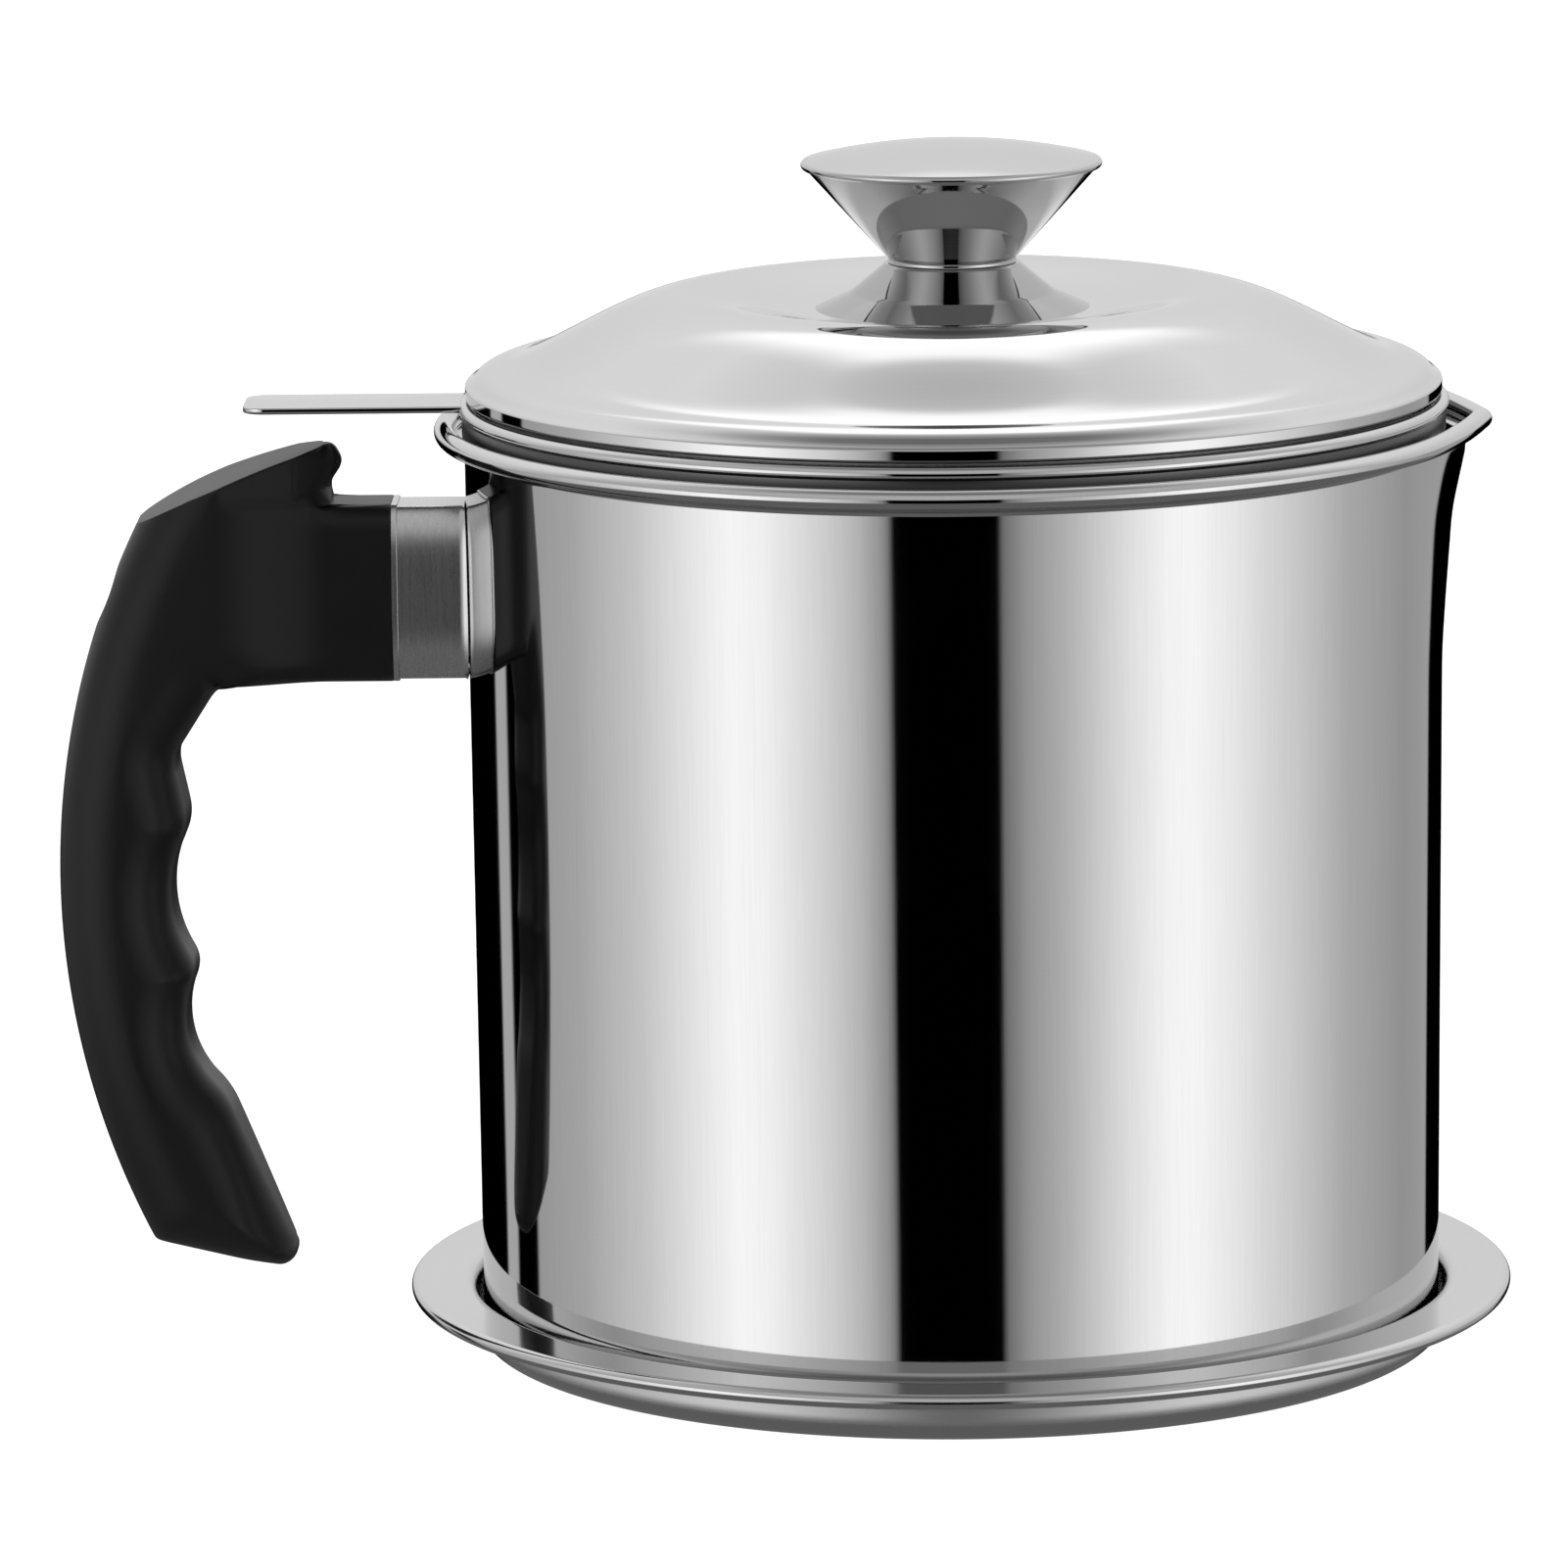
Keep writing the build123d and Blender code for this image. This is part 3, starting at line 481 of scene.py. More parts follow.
drip_tray.data.materials.append(polished_steel("tray_steel", dull=0.11, satin=satin_zone))
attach(drip_tray, "tray")
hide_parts("base_tray")

# ---------------------------------------------------------------- pot
# Deep-drawn from one stainless blank and mirror polished: dished base, slightly opening wall, a
# mouth turned out under its rim, a pouring lip pressed outwards, and a bead rolled round the rim.
pot_sheet = 0.6
pot_floor = tray_sheet
pot_base = 64.6
pot_corner = 3.5
pot_neck = (65.4, 122.2)
pot_flare = (2.1, 0.55)
pot_panel = (49.0, 51.4, 1.2)       # inner and outer radius of its slope, and its rise
bead_radius = 1.4
bead_set_back = 0.55
bead_drop = 1.85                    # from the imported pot's top to the bead's centre
bead_joins = (1.28, 0.81)           # below the bead's centre: where both faces of the wall end
lip_start = 80.0                    # below this height the wall is plain
lip_half_angle = 21.0
lip_nose_round = 0.12
lip_reaches = [(93.0, 0.0), (112.0, 1.3), (120.6, 3.1), (122.7, 2.5)]
lip_crisp = 3.0                     # the lip's bends aren't softened this far below the neck
mouth = pot_neck[0] + pot_flare[0]
mouth_start = pot_neck[1] + pot_flare[1]
bead_centre = (mouth + bead_set_back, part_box("pot_body")[1].z / mm - bead_drop)
neck_bend = 0.8
bend_shift = pot_sheet * np.tan(np.arctan2(*pot_flare) / 2)


def lip_shape(angles):
    """The lip's plan, 0 on the round rim and 1 at the nose: hollow flanks, the nose rounded.

    With s the angle over the half angle: (1 - |s|) squared, less a share of (1 - s squared)
    to the sixth, divided by what is left at the nose.
    """
    share = np.clip(np.abs(np.degrees(angles)) / lip_half_angle, 0, 1)
    flank = (1 - share) ** 2 - lip_nose_round * (1 - share**2) ** 6
    return flank / (1 - lip_nose_round)


def lip_reach(heights):
    """How far the lip stands out at a height: straight between its levels, bends softened."""
    levels, reaches = np.array(lip_reaches).T
    soft = [np.interp(heights + shift, levels, reaches) for shift in np.linspace(-2, 2, 9)]
    sharp = np.interp(heights, levels, reaches)
    return np.where(heights > pot_neck[1] - lip_crisp, sharp, np.mean(soft, axis=0))


def bead_angle(wall):
    """The angle on the rim's bead at which a wall of that radius runs into it from below.

    Its cosine is the wall's offset from the bead's centre over the bead's radius.
    """
    return -np.degrees(np.arccos((wall - bead_centre[0]) / bead_radius))


wall_levels = np.linspace(lip_start, pot_neck[1] - neck_bend - 0.5, 36)
wall_slope = (pot_neck[0] - pot_base) / (pot_neck[1] - pot_floor - pot_corner)
outside = bent(
    [
        (0, pot_floor + pot_panel[2]),
        (pot_panel[0], pot_floor + pot_panel[2]),
        (pot_panel[1], pot_floor),
        (pot_base, pot_floor),
        *[(pot_neck[0] - wall_slope * (pot_neck[1] - level), level) for level in wall_levels],
        pot_neck,
        (mouth, mouth_start),
        (mouth, bead_centre[1] - bead_joins[0]),
    ],
    [pot_corner, pot_corner, pot_corner, *[0] * len(wall_levels), neck_bend, 0.1],
)
inside = bent(
    [
        (mouth - pot_sheet, bead_centre[1] - bead_joins[1]),
        (mouth - pot_sheet, mouth_start + bend_shift),
        (pot_neck[0] - pot_sheet, pot_neck[1] + bend_shift),
        *[
            (pot_neck[0] - pot_sheet - wall_slope * (pot_neck[1] - level), level)
            for level in wall_levels[::-1]
        ],
        (pot_base - pot_sheet, pot_floor + pot_sheet),
        (pot_panel[1], pot_floor + pot_sheet),
        (pot_panel[0], pot_floor + pot_panel[2] + pot_sheet),
        (0, pot_floor + pot_panel[2] + pot_sheet),
    ],
    [0.15, 0.6, *[0] * len(wall_levels), pot_corner - pot_sheet, pot_corner, pot_corner],
)
bead = arc(bead_centre, bead_radius, bead_angle(mouth), 360 + bead_angle(mouth - pot_sheet), 7)
pot_outline = held(np.concatenate([outside, bead, inside]))
lip_angles = np.radians(np.linspace(-lip_half_angle, lip_half_angle, 121))
round_angles = np.radians(np.linspace(lip_half_angle, 360 - lip_half_angle, 231))[1:-1]
pot_angles = np.concatenate([lip_angles, round_angles])
pot_radii = pot_outline[:, :1] + lip_reach(pot_outline[:, 1])[:, None] * np.where(
    pot_angles <= lip_angles[-1], lip_shape(pot_angles), 0
)
pot_points = np.stack(
    [
        pot_radii * np.cos(pot_angles),
        pot_radii * np.sin(pot_angles),
        pot_outline[:, 1:] + 0 * pot_angles,
    ],
    axis=-1,
)
grease_pot = add_piece(
    "grease_pot",
    pot_points.reshape(-1, 3) * mm,
    grid_faces(len(pot_outline), len(pot_angles), wrap_columns=True),
)
grease_pot.data.materials.append(polished_steel("pot_steel", lines="upright", streak=0.05))
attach(grease_pot, "pot")
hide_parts("pot_body")

# ---------------------------------------------------------------- ferrule
# Oblong sleeve drawn from thick stainless sheet and polished; its mouth is coped to the pot's
# wall and a narrow lip stands round its front edge, against the grip.
ferrule_section = (13.2, 23.4, 2.6, 9.0)     # width, height, and its corners' width and height
ferrule_sheet = 0.8
ferrule_lip = 0.3
ferrule_lip_length = 0.9
ferrule_straight = 9.5
ferrule_flare = np.tan(np.radians(20))
ferrule_gap = 0.2
ferrule_front = -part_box("handle_ferrule")[0].x / mm
screw_head = 4.5                             # radius
arm_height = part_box("handle_screw")[0].z / mm + screw_head


def oblong(inset, count=20):
    """The sleeve's section in (Y, Z), drawn in by an inset: four runs joined by oval corners."""
    half_width, half_height = (size / 2 - inset for size in ferrule_section[:2])
    corner_width, corner_height = (size - inset for size in ferrule_section[2:])
    quarter = np.linspace(0, np.pi / 2, count)
    ring = []
    for side_y, side_z, start in ((1, 1, 0), (-1, 1, 1), (-1, -1, 2), (1, -1, 3)):
        turns = quarter + start * np.pi / 2
        ring.append(
            np.stack(
                [
                    side_y * (half_width - corner_width) + corner_width * np.cos(turns),
                    side_z * (half_height - corner_height) + corner_height * np.sin(turns),
                ],
                axis=1,
            )
        )
    return held(np.concatenate([*ring, ring[0][:1]]), 0.3)[:-1]


def wall_spot(section, inset):
    """How far from the axis a line along the sleeve meets the pot's wall, after flaring.

    The distance is the root of the wall's radius squared less the line's offset squared, and
    the offset grows with the flare, so it is worked out in a few rounds.
    """
    distance = np.full(len(section), pot_neck[0])
    outwards = oblong(inset - 1) - section
    for _ in range(4):
        grown = (ferrule_front - ferrule_straight - distance) * ferrule_flare
        line = section + outwards * grown[:, None]
        radius = pot_neck[0] - wall_slope * (pot_neck[1] - arm_height - line[:, 1]) + ferrule_gap
        distance = np.sqrt(radius**2 - line[:, 0] ** 2)
    return distance, line


stations = [(0.0, ferrule_sheet), (0.0, 0.0), (0.0, -ferrule_lip + 0.12), (0.12, -ferrule_lip)]
stations += [(ferrule_lip_length - 0.1, -ferrule_lip), (ferrule_lip_length, -ferrule_lip + 0.1)]
stations += [(ferrule_lip_length, 0.0), (ferrule_lip_length + 0.1, 0.0)]
stations += [(ferrule_straight - 0.4, 0.0)]
rings = []
for depth, inset in stations:
    section = oblong(inset)
    rings.append(np.column_stack([np.full(len(section), depth - ferrule_front), section]))
for inset in (0.0, ferrule_sheet):
    section = oblong(inset)
    distance, flared = wall_spot(section, inset)
    bend = np.column_stack([np.full(len(section), ferrule_straight + 0.2 - ferrule_front), section])
    mouth_ring = np.column_stack([-distance, flared])
    shares = (0.0, 0.1, 0.5, 0.9, 1.0)
    runs = [bend * (1 - share) + mouth_ring * share for share in shares]
    rings += runs if inset == 0.0 else runs[::-1]
rings.append(rings[0])
ferrule_points = np.array(rings) + [0, 0, arm_height]
sleeve = add_piece(
    "ferrule_sleeve",
    ferrule_points.reshape(-1, 3) * mm,
    grid_faces(len(rings), ferrule_points.shape[1], wrap_columns=True),
)
sleeve.data.materials.append(
    polished_steel("ferrule_steel", lines="upright", streak=0.2, dull=0.25)
)
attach(sleeve, "pot")
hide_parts("handle_ferrule")

# ---------------------------------------------------------------- grip
# Compression-moulded black bakelite with a satin surface: a bow with a fully rounded back, three
# finger grooves, a cut toe, an arm that meets the sleeve, and a nose cut slanting for the thumb.
# The outline is given as (distance behind the sleeve, height above the handle screw).
grip_half = 11.0
arm_half = 6.9
arm_edge = 12.0
back_radius = 109.3
back_apex = (45.4, -38.9)
back_round = 8.0
finger_round = 7.5
crest_round = 2.4
heel_height = -88.3
toe = (12.9, -93.2)
toe_round = 2.2
crests = [(23.4, -68.4), (26.7, -51.1), (27.6, -31.5)]
valleys = [(28.5, -57.9), (30.2, -40.7), (29.6, -22.0)]
arm_root = (23.2, -arm_edge)
notch = (8.0, 14.8)
nose_tip = (6.3, 17.3)
nose_top = (7.9, 20.1)
thumb_arc = [(2.7, 21.1), (21.7, 15.6), (38.7, 6.8)]
arm_run = (8.7, 22.7)           # the arm widens to the grip between these distances
nose_run = [(6.3, 0.0), (12.7, 7.3), (22.7, 11.0)]
counterbore = (30.7, 5.3)       # depth of its floor behind the sleeve, and radius
thumb_round, notch_round, arm_round = 0.5, 2.0, 3.0
blend_power = 6                 # how closely two roundings that meet follow the larger one


def back_line(height):
    """The grip's round back: distance behind the sleeve at a height."""
    return back_apex[0] - back_radius + np.sqrt(back_radius**2 - (height - back_apex[1]) ** 2)


def evenly(line, count):
    """A polyline's points moved to even steps along its length."""
    line = np.asarray(line, float)
    run = np.concatenate([[0], np.cumsum(np.linalg.norm(np.diff(line, axis=0), axis=1))])
    steps = np.linspace(0, run[-1], count)
    return np.column_stack([np.interp(steps, run, line[:, 0]), np.interp(steps, run, line[:, 1])])


def distance_to(points, line):
    """Each point's distance to the nearest place on a polyline; repeated points do no harm."""
    start, along = line[:-1], np.diff(line, axis=0)
    offset = points[..., None, :] - start
    squares = np.maximum((along**2).sum(-1), 1e-9)
    share = np.clip((offset * along).sum(-1) / squares, 0, 1)
    return np.linalg.norm(offset - share[..., None] * along, axis=-1).min(-1)


def rounding(distance, radius):
    """How far a rounded edge drops below the flank: r less the root of r² - (r - d)²."""
    near = radius - np.minimum(distance, radius)
    return radius - np.sqrt(radius**2 - near**2)


heel = (back_line(heel_height), heel_height)
toe_line = bent([heel, toe, crests[0]], [toe_round], 8)
toe_arc, toe_front = toe_line[1:-1], toe_line[-2:]
grooves = [
    arc_through(start, valley, end, 60)
    for start, valley, end in zip(crests[:2], valleys[:2], crests[1:])
]
grooves.append(evenly(bent([crests[2], valleys[2], arm_root], [5.0]), 60))


def softened(lines, radius):
    """Polylines joined end to end, their joints rounded: each joint becomes an even curve.

    A joint is cut back by the radius on both sides and bridged by the parabola whose control
    point is the joint.
    """
    soft = [np.array(line, float) for line in lines]
    bridges = []
    for number in range(len(soft) - 1):
        near, far = soft[number], soft[number + 1]
        joint = far[0]
        back = np.linalg.norm(near - joint, axis=1)
        ahead = np.linalg.norm(far - joint, axis=1)
        soft[number], soft[number + 1] = near[back > radius], far[ahead > radius]
        share = np.linspace(0, 1, 12)[:, None]
        start, end = soft[number][-1], soft[number + 1][0]
        bridges.append(
            ((1 - share) ** 2 * start + 2 * share * (1 - share) * joint + share**2 * end)[1:-1]
        )
    return soft, bridges


thumb_full = arc_through(*thumb_arc, 400)
inside_back = thumb_full[:, 0] < back_line(thumb_full[:, 1])
thumb = thumb_full[inside_back & (thumb_full[:, 0] > nose_top[0] + 1.1)][::-1]
notch_line = bent(
    [(nose_run[0][0] + 1.7, arm_edge), notch, nose_tip, nose_top, thumb[-1]], [1.8, 2.0, 1.5], 8
)
split_out = np.argmin(np.abs(thumb[:, 0] - 24.0))
back_stops = [heel_height, -87.0, -66.0, -50.0, -32.0, -12.0, -5.0, thumb[0, 1]]
runs = [evenly(toe_front, 60), *grooves, evenly([arm_root, (0, -arm_edge)], 60)]
runs, bridges = softened(runs, crest_round)
finger_line = np.concatenate(
    [part for pair in zip(runs, [*bridges, runs[-1][-1:]]) for part in pair]
)
crest_spots = [
    np.argmin(np.linalg.norm(finger_line - spot, axis=1)) for spot in [*crests, arm_root]
]
finger_parts = [
    finger_line[start : end + 1]
    for start, end in zip([0, *crest_spots], [*crest_spots, len(finger_line) - 1])
]
spans = [
    (toe_arc, 16), *zip(finger_parts, (40, 44, 44, 44, 36)),
    (np.array([(0, -arm_edge), (0, arm_edge)]), 30),
]
inner, outer = [], []
for (line, count), low, high in zip(spans, back_stops, back_stops[1:]):
    heights = np.linspace(low, high, count)
    inner.append(evenly(line, count)[:-1])
    outer.append(np.column_stack([back_line(heights), heights])[:-1])
inner.append(evenly([(0, arm_edge), notch_line[0]], 12)[:-1])
outer.append(evenly(thumb[: split_out + 1], 12)[:-1])
inner.append(evenly(notch_line[:-1], 40))
outer.append(evenly(thumb[split_out:], 40))
inner, outer = np.concatenate(inner), np.concatenate(outer)

length = np.linalg.norm(outer - inner, axis=1)[:, None]
edge_steps = np.array([0, 0.03, 0.1, 0.2, 0.34, 0.52, 0.75, 1.05, 1.5, 2.0])
back_steps = np.array(
    [0, 0.03, 0.1, 0.2, 0.34, 0.52, 0.8, 1.2, 1.7, 2.3, 3.0, 3.8, 4.7, 5.7, 6.8, 8.0]
)
from_inner = edge_steps * np.minimum(1, 0.2 * length / edge_steps[-1])
from_outer = length - back_steps[::-1] * np.minimum(1, 0.45 * length / back_steps[-1])
middle_shares = np.linspace(0, 1, 12)[1:-1]
between = from_inner[:, -1:] * (1 - middle_shares) + from_outer[:, :1] * middle_shares
steps = np.concatenate([from_inner, between, from_outer], axis=1)
flank = inner[:, None] + (outer - inner)[:, None] * (steps / length)[..., None]

reach, height = flank[..., 0], flank[..., 1]
arm_share = np.clip((reach - arm_run[0]) / (arm_run[1] - arm_run[0]), 0, 1)
arm_width = arm_half + (grip_half - arm_half) * arm_share**2 * (3 - 2 * arm_share)
nose_width = np.interp(reach, *np.array(nose_run).T)
nose_share = np.clip((height - 12.0) / 2.0, 0, 1)
half_width = arm_width * (1 - nose_share) + np.minimum(arm_width, nose_width) * nose_share
back_edge = np.column_stack([back_line(np.linspace(-97, 24, 160)), np.linspace(-97, 24, 160)])
arm_edges = np.array([arm_root, (-9, -arm_edge), (-9, arm_edge), (8, arm_edge)])
drops = [
    rounding(distance_to(flank, back_edge), back_round),
    rounding(distance_to(flank, finger_line[: crest_spots[-1]]), finger_round),
    rounding(distance_to(flank, toe_line[:-1]), finger_round),
    rounding(distance_to(flank, thumb), thumb_round),
    rounding(distance_to(flank, notch_line), notch_round),
    rounding(distance_to(flank, arm_edges), arm_round),
]
drop = np.sum(np.array(drops) ** blend_power, axis=0) ** (1 / blend_power)
flank_y = np.maximum(half_width - drop, 0.6)


def grip_space(points, across):
    """Outline points and widths as places in the frame, in metres."""
    return np.stack(
        [-ferrule_front - points[..., 0], across, arm_height + points[..., 1]], axis=-1
    ) * mm


rows, columns = reach.shape
near_flank = grip_space(flank, flank_y).reshape(-1, 3)
far_flank = grip_space(flank, -flank_y).reshape(-1, 3)
rim_order = np.concatenate([
    np.arange(rows) * columns,
    (rows - 1) * columns + np.arange(1, columns),
    np.arange(rows - 2, -1, -1) * columns + columns - 1,
    np.arange(columns - 2, 0, -1),
])
rim = near_flank[rim_order]
across = np.array([1, 0.9, 0.6, 0.2, -0.2, -0.6, -0.9, -1])
strip = rim[:, None] * [1, 0, 1] + rim[:, None] * [0, 1, 0] * across[:, None]
grip_points = np.concatenate([near_flank, far_flank, strip.reshape(-1, 3)])
grip_faces = np.concatenate([
    grid_faces(rows, columns),
    grid_faces(rows, columns)[:, ::-1] + rows * columns,
    grid_faces(len(rim), len(across), wrap_rows=True) + 2 * rows * columns,
])
grip = add_piece("bakelite_grip", grip_points, grip_faces, sharp=32)

bore_outline = np.array([
    (0, -5), (2.8, -5), (2.8, counterbore[0]), (counterbore[1], counterbore[0]),
    (counterbore[1], 60), (0, 60),
])
bore = turned("bore_cutter", held(bore_outline), count=96)
sleeve_front = Matrix.Translation((-ferrule_front * mm, 0, arm_height * mm))
bore.data.transform(sleeve_front @ Matrix.Rotation(-np.pi / 2, 4, "Y"))
cut = grip.modifiers.new("counterbore", "BOOLEAN")
cut.operation = "DIFFERENCE"
cut.solver = "EXACT"
cut.object = bore
bpy.context.view_layer.update()
bored = bpy.data.meshes.new_from_object(grip.evaluated_get(bpy.context.evaluated_depsgraph_get()))
grip.modifiers.clear()
grip.data = bored
grip.data.name = "bakelite_grip"
grip.data.set_sharp_from_angle(angle=np.radians(32))
bpy.data.objects.remove(bore)


def bakelite():
    """Satin moulded bakelite: near black, with a fine grain and soft cloudy gloss."""
    finish = Finish("bakelite")
    grain = finish.noise(1500.0, 4.0)
    cloud = finish.noise(60.0, 4.0)
    return finish.show(
        finish.node(
            "ShaderNodeBsdfPrincipled",
            None,
            {
                "Base Color": finish.grey(0.005 + 0.004 * cloud, blue=1.02),
                "Roughness": 0.32 + 0.08 * cloud + 0.04 * grain,
                "Specular IOR Level": 0.22,
                "Normal": finish.bump(grain * 0.00003, 0.35),
            },
        )
    )


grip.data.materials.clear()
grip.data.materials.append(bakelite())
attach(grip, "pot")
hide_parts("handle_grip")

# ---------------------------------------------------------------- handle fastenings
# A folded bracket welded inside the sleeve, its weld nut, and the long screw with its washer in
# the grip's counterbore: plain satin stainless steel, turned or stamped.


def satin_steel(name, tone=0.62):
    """Plain stainless steel as it comes off the press: fine grain and soft cloudy dullness."""
    finish = Finish(name)
    grain = finish.noise(2200.0, 3.0)
    cloud = finish.noise(120.0, 4.0)
    return finish.show(
        finish.node(
            "ShaderNodeBsdfPrincipled",
            None,
            {
                "Base Color": finish.grey(tone - 0.06 + 0.08 * cloud + 0.04 * grain),
                "Metallic": 1.0,
                "Roughness": 0.24 + 0.1 * cloud + 0.06 * grain,
                "Normal": finish.bump(grain * 0.00001, 0.3),
            },
        )
    )


def dress(node, material):
    """Puts a finish on a CAD piece that keeps its own shape."""
    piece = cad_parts[node]
    piece.data.materials.clear()
    piece.data.materials.append(material)


fastening_steel = satin_steel("fastening_steel")
for node in ("handle_bracket", "bracket_nut", "handle_screw", "handle_washer"):
    dress(node, fastening_steel)

# ---------------------------------------------------------------- strainer basket
# A drawn band of polished stainless sheet: its shoulder sits in the pot's mouth, its rolled bead
# stands above the pot's, and its bottom edge turns in to carry the wire cloth.
band_sheet = 0.5
band_wall = 64.2
band_rim = 65.7
band_floor = 96.6
band_seat = 57.7
band_corner = 3.0
band_bead = 1.0
band_bead_centre = (65.1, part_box("strainer_band")[1].z / mm - band_bead)
shoulder_low = 122.05
shoulder_high = shoulder_low + band_rim - band_wall
band_shift = band_sheet * np.tan(np.pi / 8)
band_bead_joins = (0.8, 0.995)      # below the bead's centre: where both faces of the wall end
band_bead_turn = (-53.1, 275.7)     # degrees, from the outer of these places to the inner
rim_bead = arc(band_bead_centre, band_bead, *band_bead_turn, 8)
band_outside = bent(
    [
        (band_seat, band_floor),
        (band_wall, band_floor),
        (band_wall, shoulder_low),
        (band_rim, shoulder_high),
        (band_rim, band_bead_centre[1] - band_bead_joins[0]),
    ],
    [band_corner, band_sheet, band_sheet],
)
band_inside = bent(
    [
        (band_rim - band_sheet, band_bead_centre[1] - band_bead_joins[1]),
        (band_rim - band_sheet, shoulder_high + band_shift),
        (band_wall - band_sheet, shoulder_low + band_shift),
        (band_wall - band_sheet, band_floor + band_sheet),
        (band_seat, band_floor + band_sheet),
        (band_seat, band_floor),
    ],
    [band_sheet, band_sheet, band_corner - band_sheet, 0],
)
basket = turned("strainer_basket", held(np.concatenate([band_outside, rim_bead, band_inside])))
# Painted shade: outside the band's rim and below its bead the steel is duller and its tone is
# darkened, for the shade in the gap between the basket and the pot's bead.
rim_gap = ((band_rim - 0.3) * mm, (band_bead_centre[1] - 0.6) * mm)
basket.data.materials.append(polished_steel("basket_steel", satin=rim_gap, gap_shade=0.8))
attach(basket, "strainer")
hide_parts("strainer_band")

# ---------------------------------------------------------------- wire cloth and its ring
# Plain-woven stainless wire, cut round and laid on the basket's inward edge; an angle ring is
# pressed down over it and spot-welded to the basket.
cloth_radius = 60.9
cloth_height = 97.35
cloth_pitch = 1.6
wire_radius = 0.125
wire_lift = 0.12


def woven_wires():
    """Two families of wires that pass over and under each other at every crossing.

    A wire's height is the cloth's middle plus or minus the lift, the sign changing from one
    crossing to the next and from one wire to the next; each wire ends on the cloth's circle.
    """
    count = int(cloth_radius / cloth_pitch)
    places = np.arange(-count, count + 1) * cloth_pitch
    points, faces = [], []
    start = 0
    section = wire_radius * np.array([(1, 0), (0, 1), (-1, 0), (0, -1)])
    for number, place in enumerate(places):
        half = np.sqrt(cloth_radius**2 - place**2)
        crossings = places[np.abs(places) < half - 0.3]
        if len(crossings) < 2:
            continue
        steps = np.concatenate([[-half], crossings, [half]])
        order = np.round(steps / cloth_pitch).astype(int)
        lift = wire_lift * np.where((order + number) % 2, 1, -1)
        for family in (1, -1):
            sides = np.stack(
                [
                    steps[:, None] + 0 * section[:, 0],
                    place + section[:, 0] + 0 * steps[:, None],
                    cloth_height + family * lift[:, None] + section[:, 1],
                ],
                axis=-1,
            )
            if family == -1:
                sides = sides[..., [1, 0, 2]]
            points.append(sides.reshape(-1, 3))
            faces.extend((grid_faces(len(steps), 4, wrap_columns=True) + start).tolist())
            last = start + 4 * (len(steps) - 1)
            faces.append([start, start + 1, start + 2, start + 3])
            faces.append([last, last + 1, last + 2, last + 3])
            start += sides.shape[0] * 4
    return np.concatenate(points), faces


wire_points, wire_faces = woven_wires()
wire_cloth = add_piece("wire_cloth", wire_points * mm, wire_faces, sharp=180)
wire_cloth.data.materials.append(satin_steel("wire_steel", 0.6))
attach(wire_cloth, "strainer")
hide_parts("strainer_mesh")

ring_sheet = 0.6
ring_radius = 63.65
ring_floor = 97.6
ring_top = 102.1
clamp_ring = turned(
    "clamp_ring",
    held(np.concatenate([
        bent(
            [(band_seat, ring_floor), (ring_radius, ring_floor), (ring_radius, ring_top)],
            [band_corner],
        ),
        bent(
            [
                (ring_radius, ring_top),
                (ring_radius - ring_sheet, ring_top),
                (ring_radius - ring_sheet, ring_floor + ring_sheet),
                (band_seat, ring_floor + ring_sheet),
                (band_seat, ring_floor),
            ],
            [0.1, band_corner - ring_sheet, 0.1],
        ),
    ])),
)
clamp_ring.data.materials.append(satin_steel("ring_steel", 0.66))
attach(clamp_ring, "strainer")
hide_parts("mesh_clamp_ring")

# ---------------------------------------------------------------- strainer handle
# A flat strip of polished stainless with rounded corners and dulled edges, coped to the basket's
# bead and welded on.
strip_low, strip_high = (np.array(corner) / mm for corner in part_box("strainer_handle"))
strip_corner = 3.0
strip_edge = 0.22
strip_half = strip_high[1]
weld_gap = 0.05
bead_clear = np.sqrt((band_bead + weld_gap) ** 2 - (strip_high[2] - band_bead_centre[1]) ** 2)
cope_y = np.linspace(strip_half, -strip_half, 13)
cope_x = -np.sqrt((band_bead_centre[0] + bead_clear) ** 2 - cope_y**2)
tip = bent(
    [
        (cope_x[-1], -strip_half),
        (strip_low[0], -strip_half),
        (strip_low[0], strip_half),
        (cope_x[0], strip_half),
    ],
    [strip_corner, strip_corner],
)
plan = held(np.concatenate([tip, np.column_stack([cope_x, cope_y])]), 0.3)[:-1]
ahead = np.roll(plan, -1, axis=0) - np.roll(plan, 1, axis=0)
outwards = np.column_stack([ahead[:, 1], -ahead[:, 0]]) / np.linalg.norm(ahead, axis=1)[:, None]
centre_side = np.sign(((plan - plan.mean(axis=0)) * outwards).sum())
edge_turns = np.radians(np.linspace(-90, 90, 9))
levels = [
    (plan + centre_side * outwards * strip_edge * (np.cos(angle) - 1), level)
    for angle, level in zip(
        edge_turns,
        np.where(
            edge_turns < 0,
            strip_low[2] + strip_edge * (1 + np.sin(edge_turns)),
            strip_high[2] - strip_edge * (1 - np.sin(edge_turns)),
        ),
    )
]
strip_points = np.array(
    [np.column_stack([ring, np.full(len(ring), level)]) for ring, level in levels]
)
strip_faces = grid_faces(len(levels), len(plan), wrap_columns=True).tolist()
strip_faces.append(list(range(len(plan))))
strip_faces.append([(len(levels) - 1) * len(plan) + spot for spot in range(len(plan))])
strip_handle = add_piece("strip_handle", strip_points.reshape(-1, 3) * mm, strip_faces, sharp=35)
strip_handle.data.materials.append(polished_steel("strip_steel", lines="upright"))
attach(strip_handle, "strainer")
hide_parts("strainer_handle")

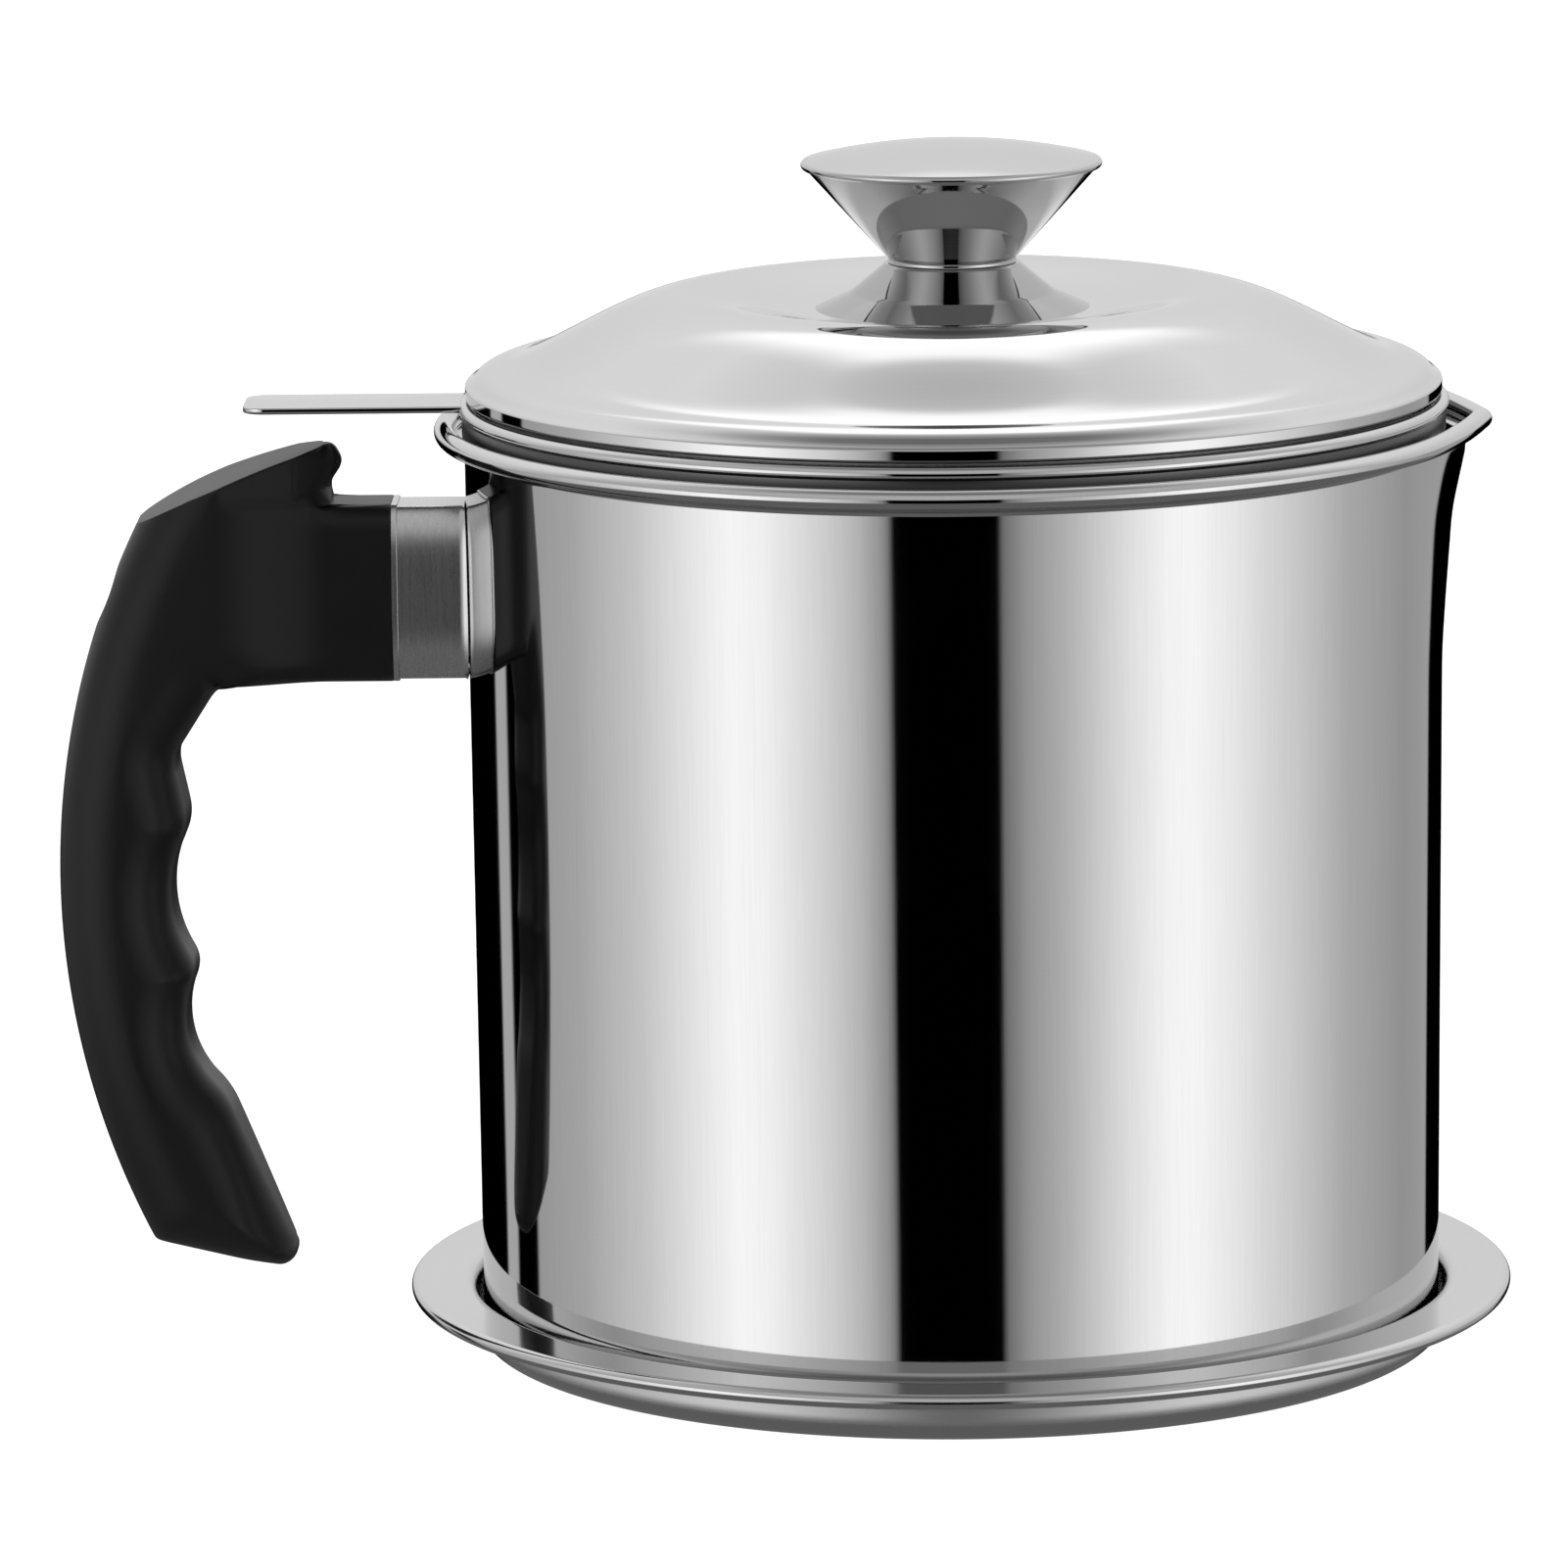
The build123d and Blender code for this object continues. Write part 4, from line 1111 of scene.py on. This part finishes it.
# ---------------------------------------------------------------- lid
# Stamped from thin stainless sheet and polished: a level seat for the knob, a domed crown, a
# shallow valley and a brim that rolls over into a short upright edge.
lid_sheet = 0.5
lid_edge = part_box("lid_shell")[1].y / mm
lid_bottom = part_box("lid_shell")[0].z / mm
seat_radius = 19.0
seat_rise = 11.4
lid_hole = 2.8
# Distance in from the edge, height above the bottom, and the share of the sheet by which the
# underside is drawn in there.
crown_form = [
    (28.2, 13.6, 0.0), (15.2, 8.95, 0.4), (10.6, 6.55, 0.45), (7.8, 5.2, 0.35),
    (5.5, 4.36, 0.2), (3.4, 3.9, 0.2), (1.7, 3.15, 0.5), (0.6, 2.2, 0.8),
]
lid_upright = 1.6


def smooth_line(points, start, end, count=15):
    """A curve through points with given directions at its ends.

    Between points it is a cubic of the chord length; the directions at the inner points are
    those that keep the curve's bending unbroken, from one set of linear equations.
    """
    points = np.asarray(points, float)
    chords = np.linalg.norm(np.diff(points, axis=0), axis=1)
    number = len(points)
    system, wanted = np.eye(number), np.zeros((number, 2))
    wanted[0], wanted[-1] = start, end
    for spot in range(1, number - 1):
        near, far = chords[spot - 1], chords[spot]
        system[spot, spot - 1 : spot + 2] = far, 2 * (near + far), near
        wanted[spot] = 3 * (
            far / near * (points[spot] - points[spot - 1])
            + near / far * (points[spot + 1] - points[spot])
        )
    slopes = np.linalg.solve(system, wanted)
    share = np.linspace(0, 1, count)[:, None]
    line = [
        (2 * share**3 - 3 * share**2 + 1) * points[spot]
        + (share**3 - 2 * share**2 + share) * chords[spot] * slopes[spot]
        + (3 * share**2 - 2 * share**3) * points[spot + 1]
        + (share**3 - share**2) * chords[spot] * slopes[spot + 1]
        for spot in range(number - 1)
    ]
    return np.concatenate([line[0], *[part[1:] for part in line[1:]]])


def crown_line(drop):
    """The lid's section from its screw hole to its upright edge, dropped by the sheet."""
    seat = lid_bottom + seat_rise - drop
    passing = [
        (lid_edge - width - drop * share, lid_bottom + rise - drop)
        for width, rise, share in crown_form
    ]
    edge = (lid_edge - drop, lid_bottom + lid_upright)
    curve = smooth_line([(seat_radius, seat), *passing, edge], (1, 0), (0, -1))
    return np.concatenate([[(lid_hole, seat)], curve])


over, under = crown_line(0), crown_line(lid_sheet)
lid_foot = arc((lid_edge - lid_sheet, lid_bottom + lid_sheet), lid_sheet, 0, -90, 12)
lid = turned("lid", held(np.concatenate([over, lid_foot, under[::-1], over[:1]])), count=320)
# Painted shade: at the foot of the lid's turned edge the steel is duller and its tone is darkened,
# for the shade in the gap above the basket's bead.
lid_turn = ((lid_edge - lid_sheet - 0.2) * mm, (lid_bottom + 0.25) * mm)
lid.data.materials.append(polished_steel("lid_steel", satin=lid_turn, gap_shade=0.8))
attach(lid, "lid")
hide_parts("lid_shell")

hoop_sheet = 0.5
hoop_gap = 0.05
hoop_edge = 0.1
hoop_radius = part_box("lid_locating_ring")[1].y / mm
hoop_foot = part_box("lid_locating_ring")[0].z / mm
brim = under[len(under) // 2 :]
hoop_top = [
    brim[np.argmin(np.abs(brim[:, 0] - radius)), 1] - hoop_gap
    for radius in (hoop_radius, hoop_radius - hoop_sheet)
]
hoop = turned(
    "lid_hoop",
    held([
        (hoop_radius - hoop_sheet, hoop_foot + hoop_edge),
        (hoop_radius - hoop_sheet + hoop_edge, hoop_foot),
        (hoop_radius - hoop_edge, hoop_foot),
        (hoop_radius, hoop_foot + hoop_edge),
        (hoop_radius, hoop_top[0]),
        (hoop_radius - hoop_sheet, hoop_top[1]),
        (hoop_radius - hoop_sheet, hoop_foot + hoop_edge),
    ]),
)
hoop.data.materials.append(satin_steel("hoop_steel", 0.64))
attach(hoop, "lid")
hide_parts("lid_locating_ring")

# ---------------------------------------------------------------- knob
# Three polished stainless pressings: a hollow foot that steepens upwards, a cone that opens
# upwards, and a domed disc crimped over the cone's rim.  A screw from under the lid holds foot
# and cone down.
knob_sheet = 0.6
knob_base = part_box("knob_foot")[0].z / mm
neck_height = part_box("knob_foot")[1].z / mm
foot_radius = 18.3
waist_radius = 9.3
foot_middle = (13.7, knob_base + 2.15)
foot_round = 3.0
foot_hem = 1.6 * knob_sheet
screw_hole = 2.8
foot_out = bent(
    [(foot_radius, knob_base), foot_middle, (waist_radius, neck_height - knob_sheet / 2)],
    [foot_round],
)
foot_in = bent(
    [
        (waist_radius - knob_sheet, neck_height - knob_sheet),
        (foot_middle[0] - knob_sheet / 2, foot_middle[1] - knob_sheet),
        (foot_radius - foot_hem, knob_base),
    ],
    [foot_round],
)
knob_foot = turned(
    "foot_of_knob",
    held(np.concatenate([
        foot_out,
        [
            (waist_radius - knob_sheet / 2, neck_height),
            (screw_hole, neck_height),
            (screw_hole, neck_height - knob_sheet),
        ],
        foot_in,
        foot_out[:1],
    ])),
)
neck_radius = 8.6
bell_rim = 19.5
bell_top = neck_height + 13.2
bell_floor = neck_height + knob_sheet
crimp = 0.9
knob_bell = turned(
    "bell_of_knob",
    held(np.concatenate([
        bent(
            [
                (screw_hole, neck_height),
                (neck_radius, neck_height),
                (neck_radius, bell_floor),
                (bell_rim, bell_top - crimp / 2),
                (bell_rim, bell_top),
            ],
            [0.15, 0.3, 0.1],
        ),
        bent(
            [
                (bell_rim - knob_sheet, bell_top),
                (bell_rim - knob_sheet, bell_top - crimp / 2 + knob_sheet / 2),
                (neck_radius - knob_sheet, bell_floor + knob_sheet),
                (neck_radius - knob_sheet, bell_floor),
                (screw_hole, bell_floor),
                (screw_hole, neck_height),
            ],
            [0.1, 0.1, 0, 0],
        ),
    ])),
)
cap_gap = 0.02
cap_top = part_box("knob_cap")[1].z / mm
cap_edge = (bell_rim, bell_top + knob_sheet)


def dome_line(top, edge, count=40):
    """Half of a round dome's section, from its top on the axis to its edge.

    The radius is half the sum of the edge's radius squared and the drop squared, over the drop.
    """
    drop = top - edge[1]
    radius = (edge[0] ** 2 + drop**2) / (2 * drop)
    spread = np.linspace(0, np.arcsin(edge[0] / radius), count)
    return np.stack([radius * np.sin(spread), top - radius + radius * np.cos(spread)], axis=1)


knob_cap = turned(
    "cap_of_knob",
    held(np.concatenate([
        dome_line(cap_top, cap_edge),
        arc((bell_rim, bell_top), knob_sheet, 84, -90, 8),
        [
            (bell_rim + cap_gap, bell_top - crimp / 2),
            (bell_rim + cap_gap, bell_top + cap_gap),
        ],
        dome_line(cap_top - knob_sheet, (bell_rim - knob_sheet, bell_top + cap_gap))[::-1],
        [(0, cap_top)],
    ])),
)
# The foot is the same polished stainless as the bell and cap; its much darker tone is painted shade.
knob_steel = polished_steel("knob_steel", tone=0.53)
shaded_foot_steel = polished_steel("shaded_foot_steel", tone=0.36)
for piece, node in ((knob_foot, "knob_foot"), (knob_bell, "knob_bell"), (knob_cap, "knob_cap")):
    piece.data.materials.append(shaded_foot_steel if piece is knob_foot else knob_steel)
    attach(piece, "lid")
    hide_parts(node)
for node in ("knob_nut", "knob_screw", "knob_washer"):
    dress(node, fastening_steel)
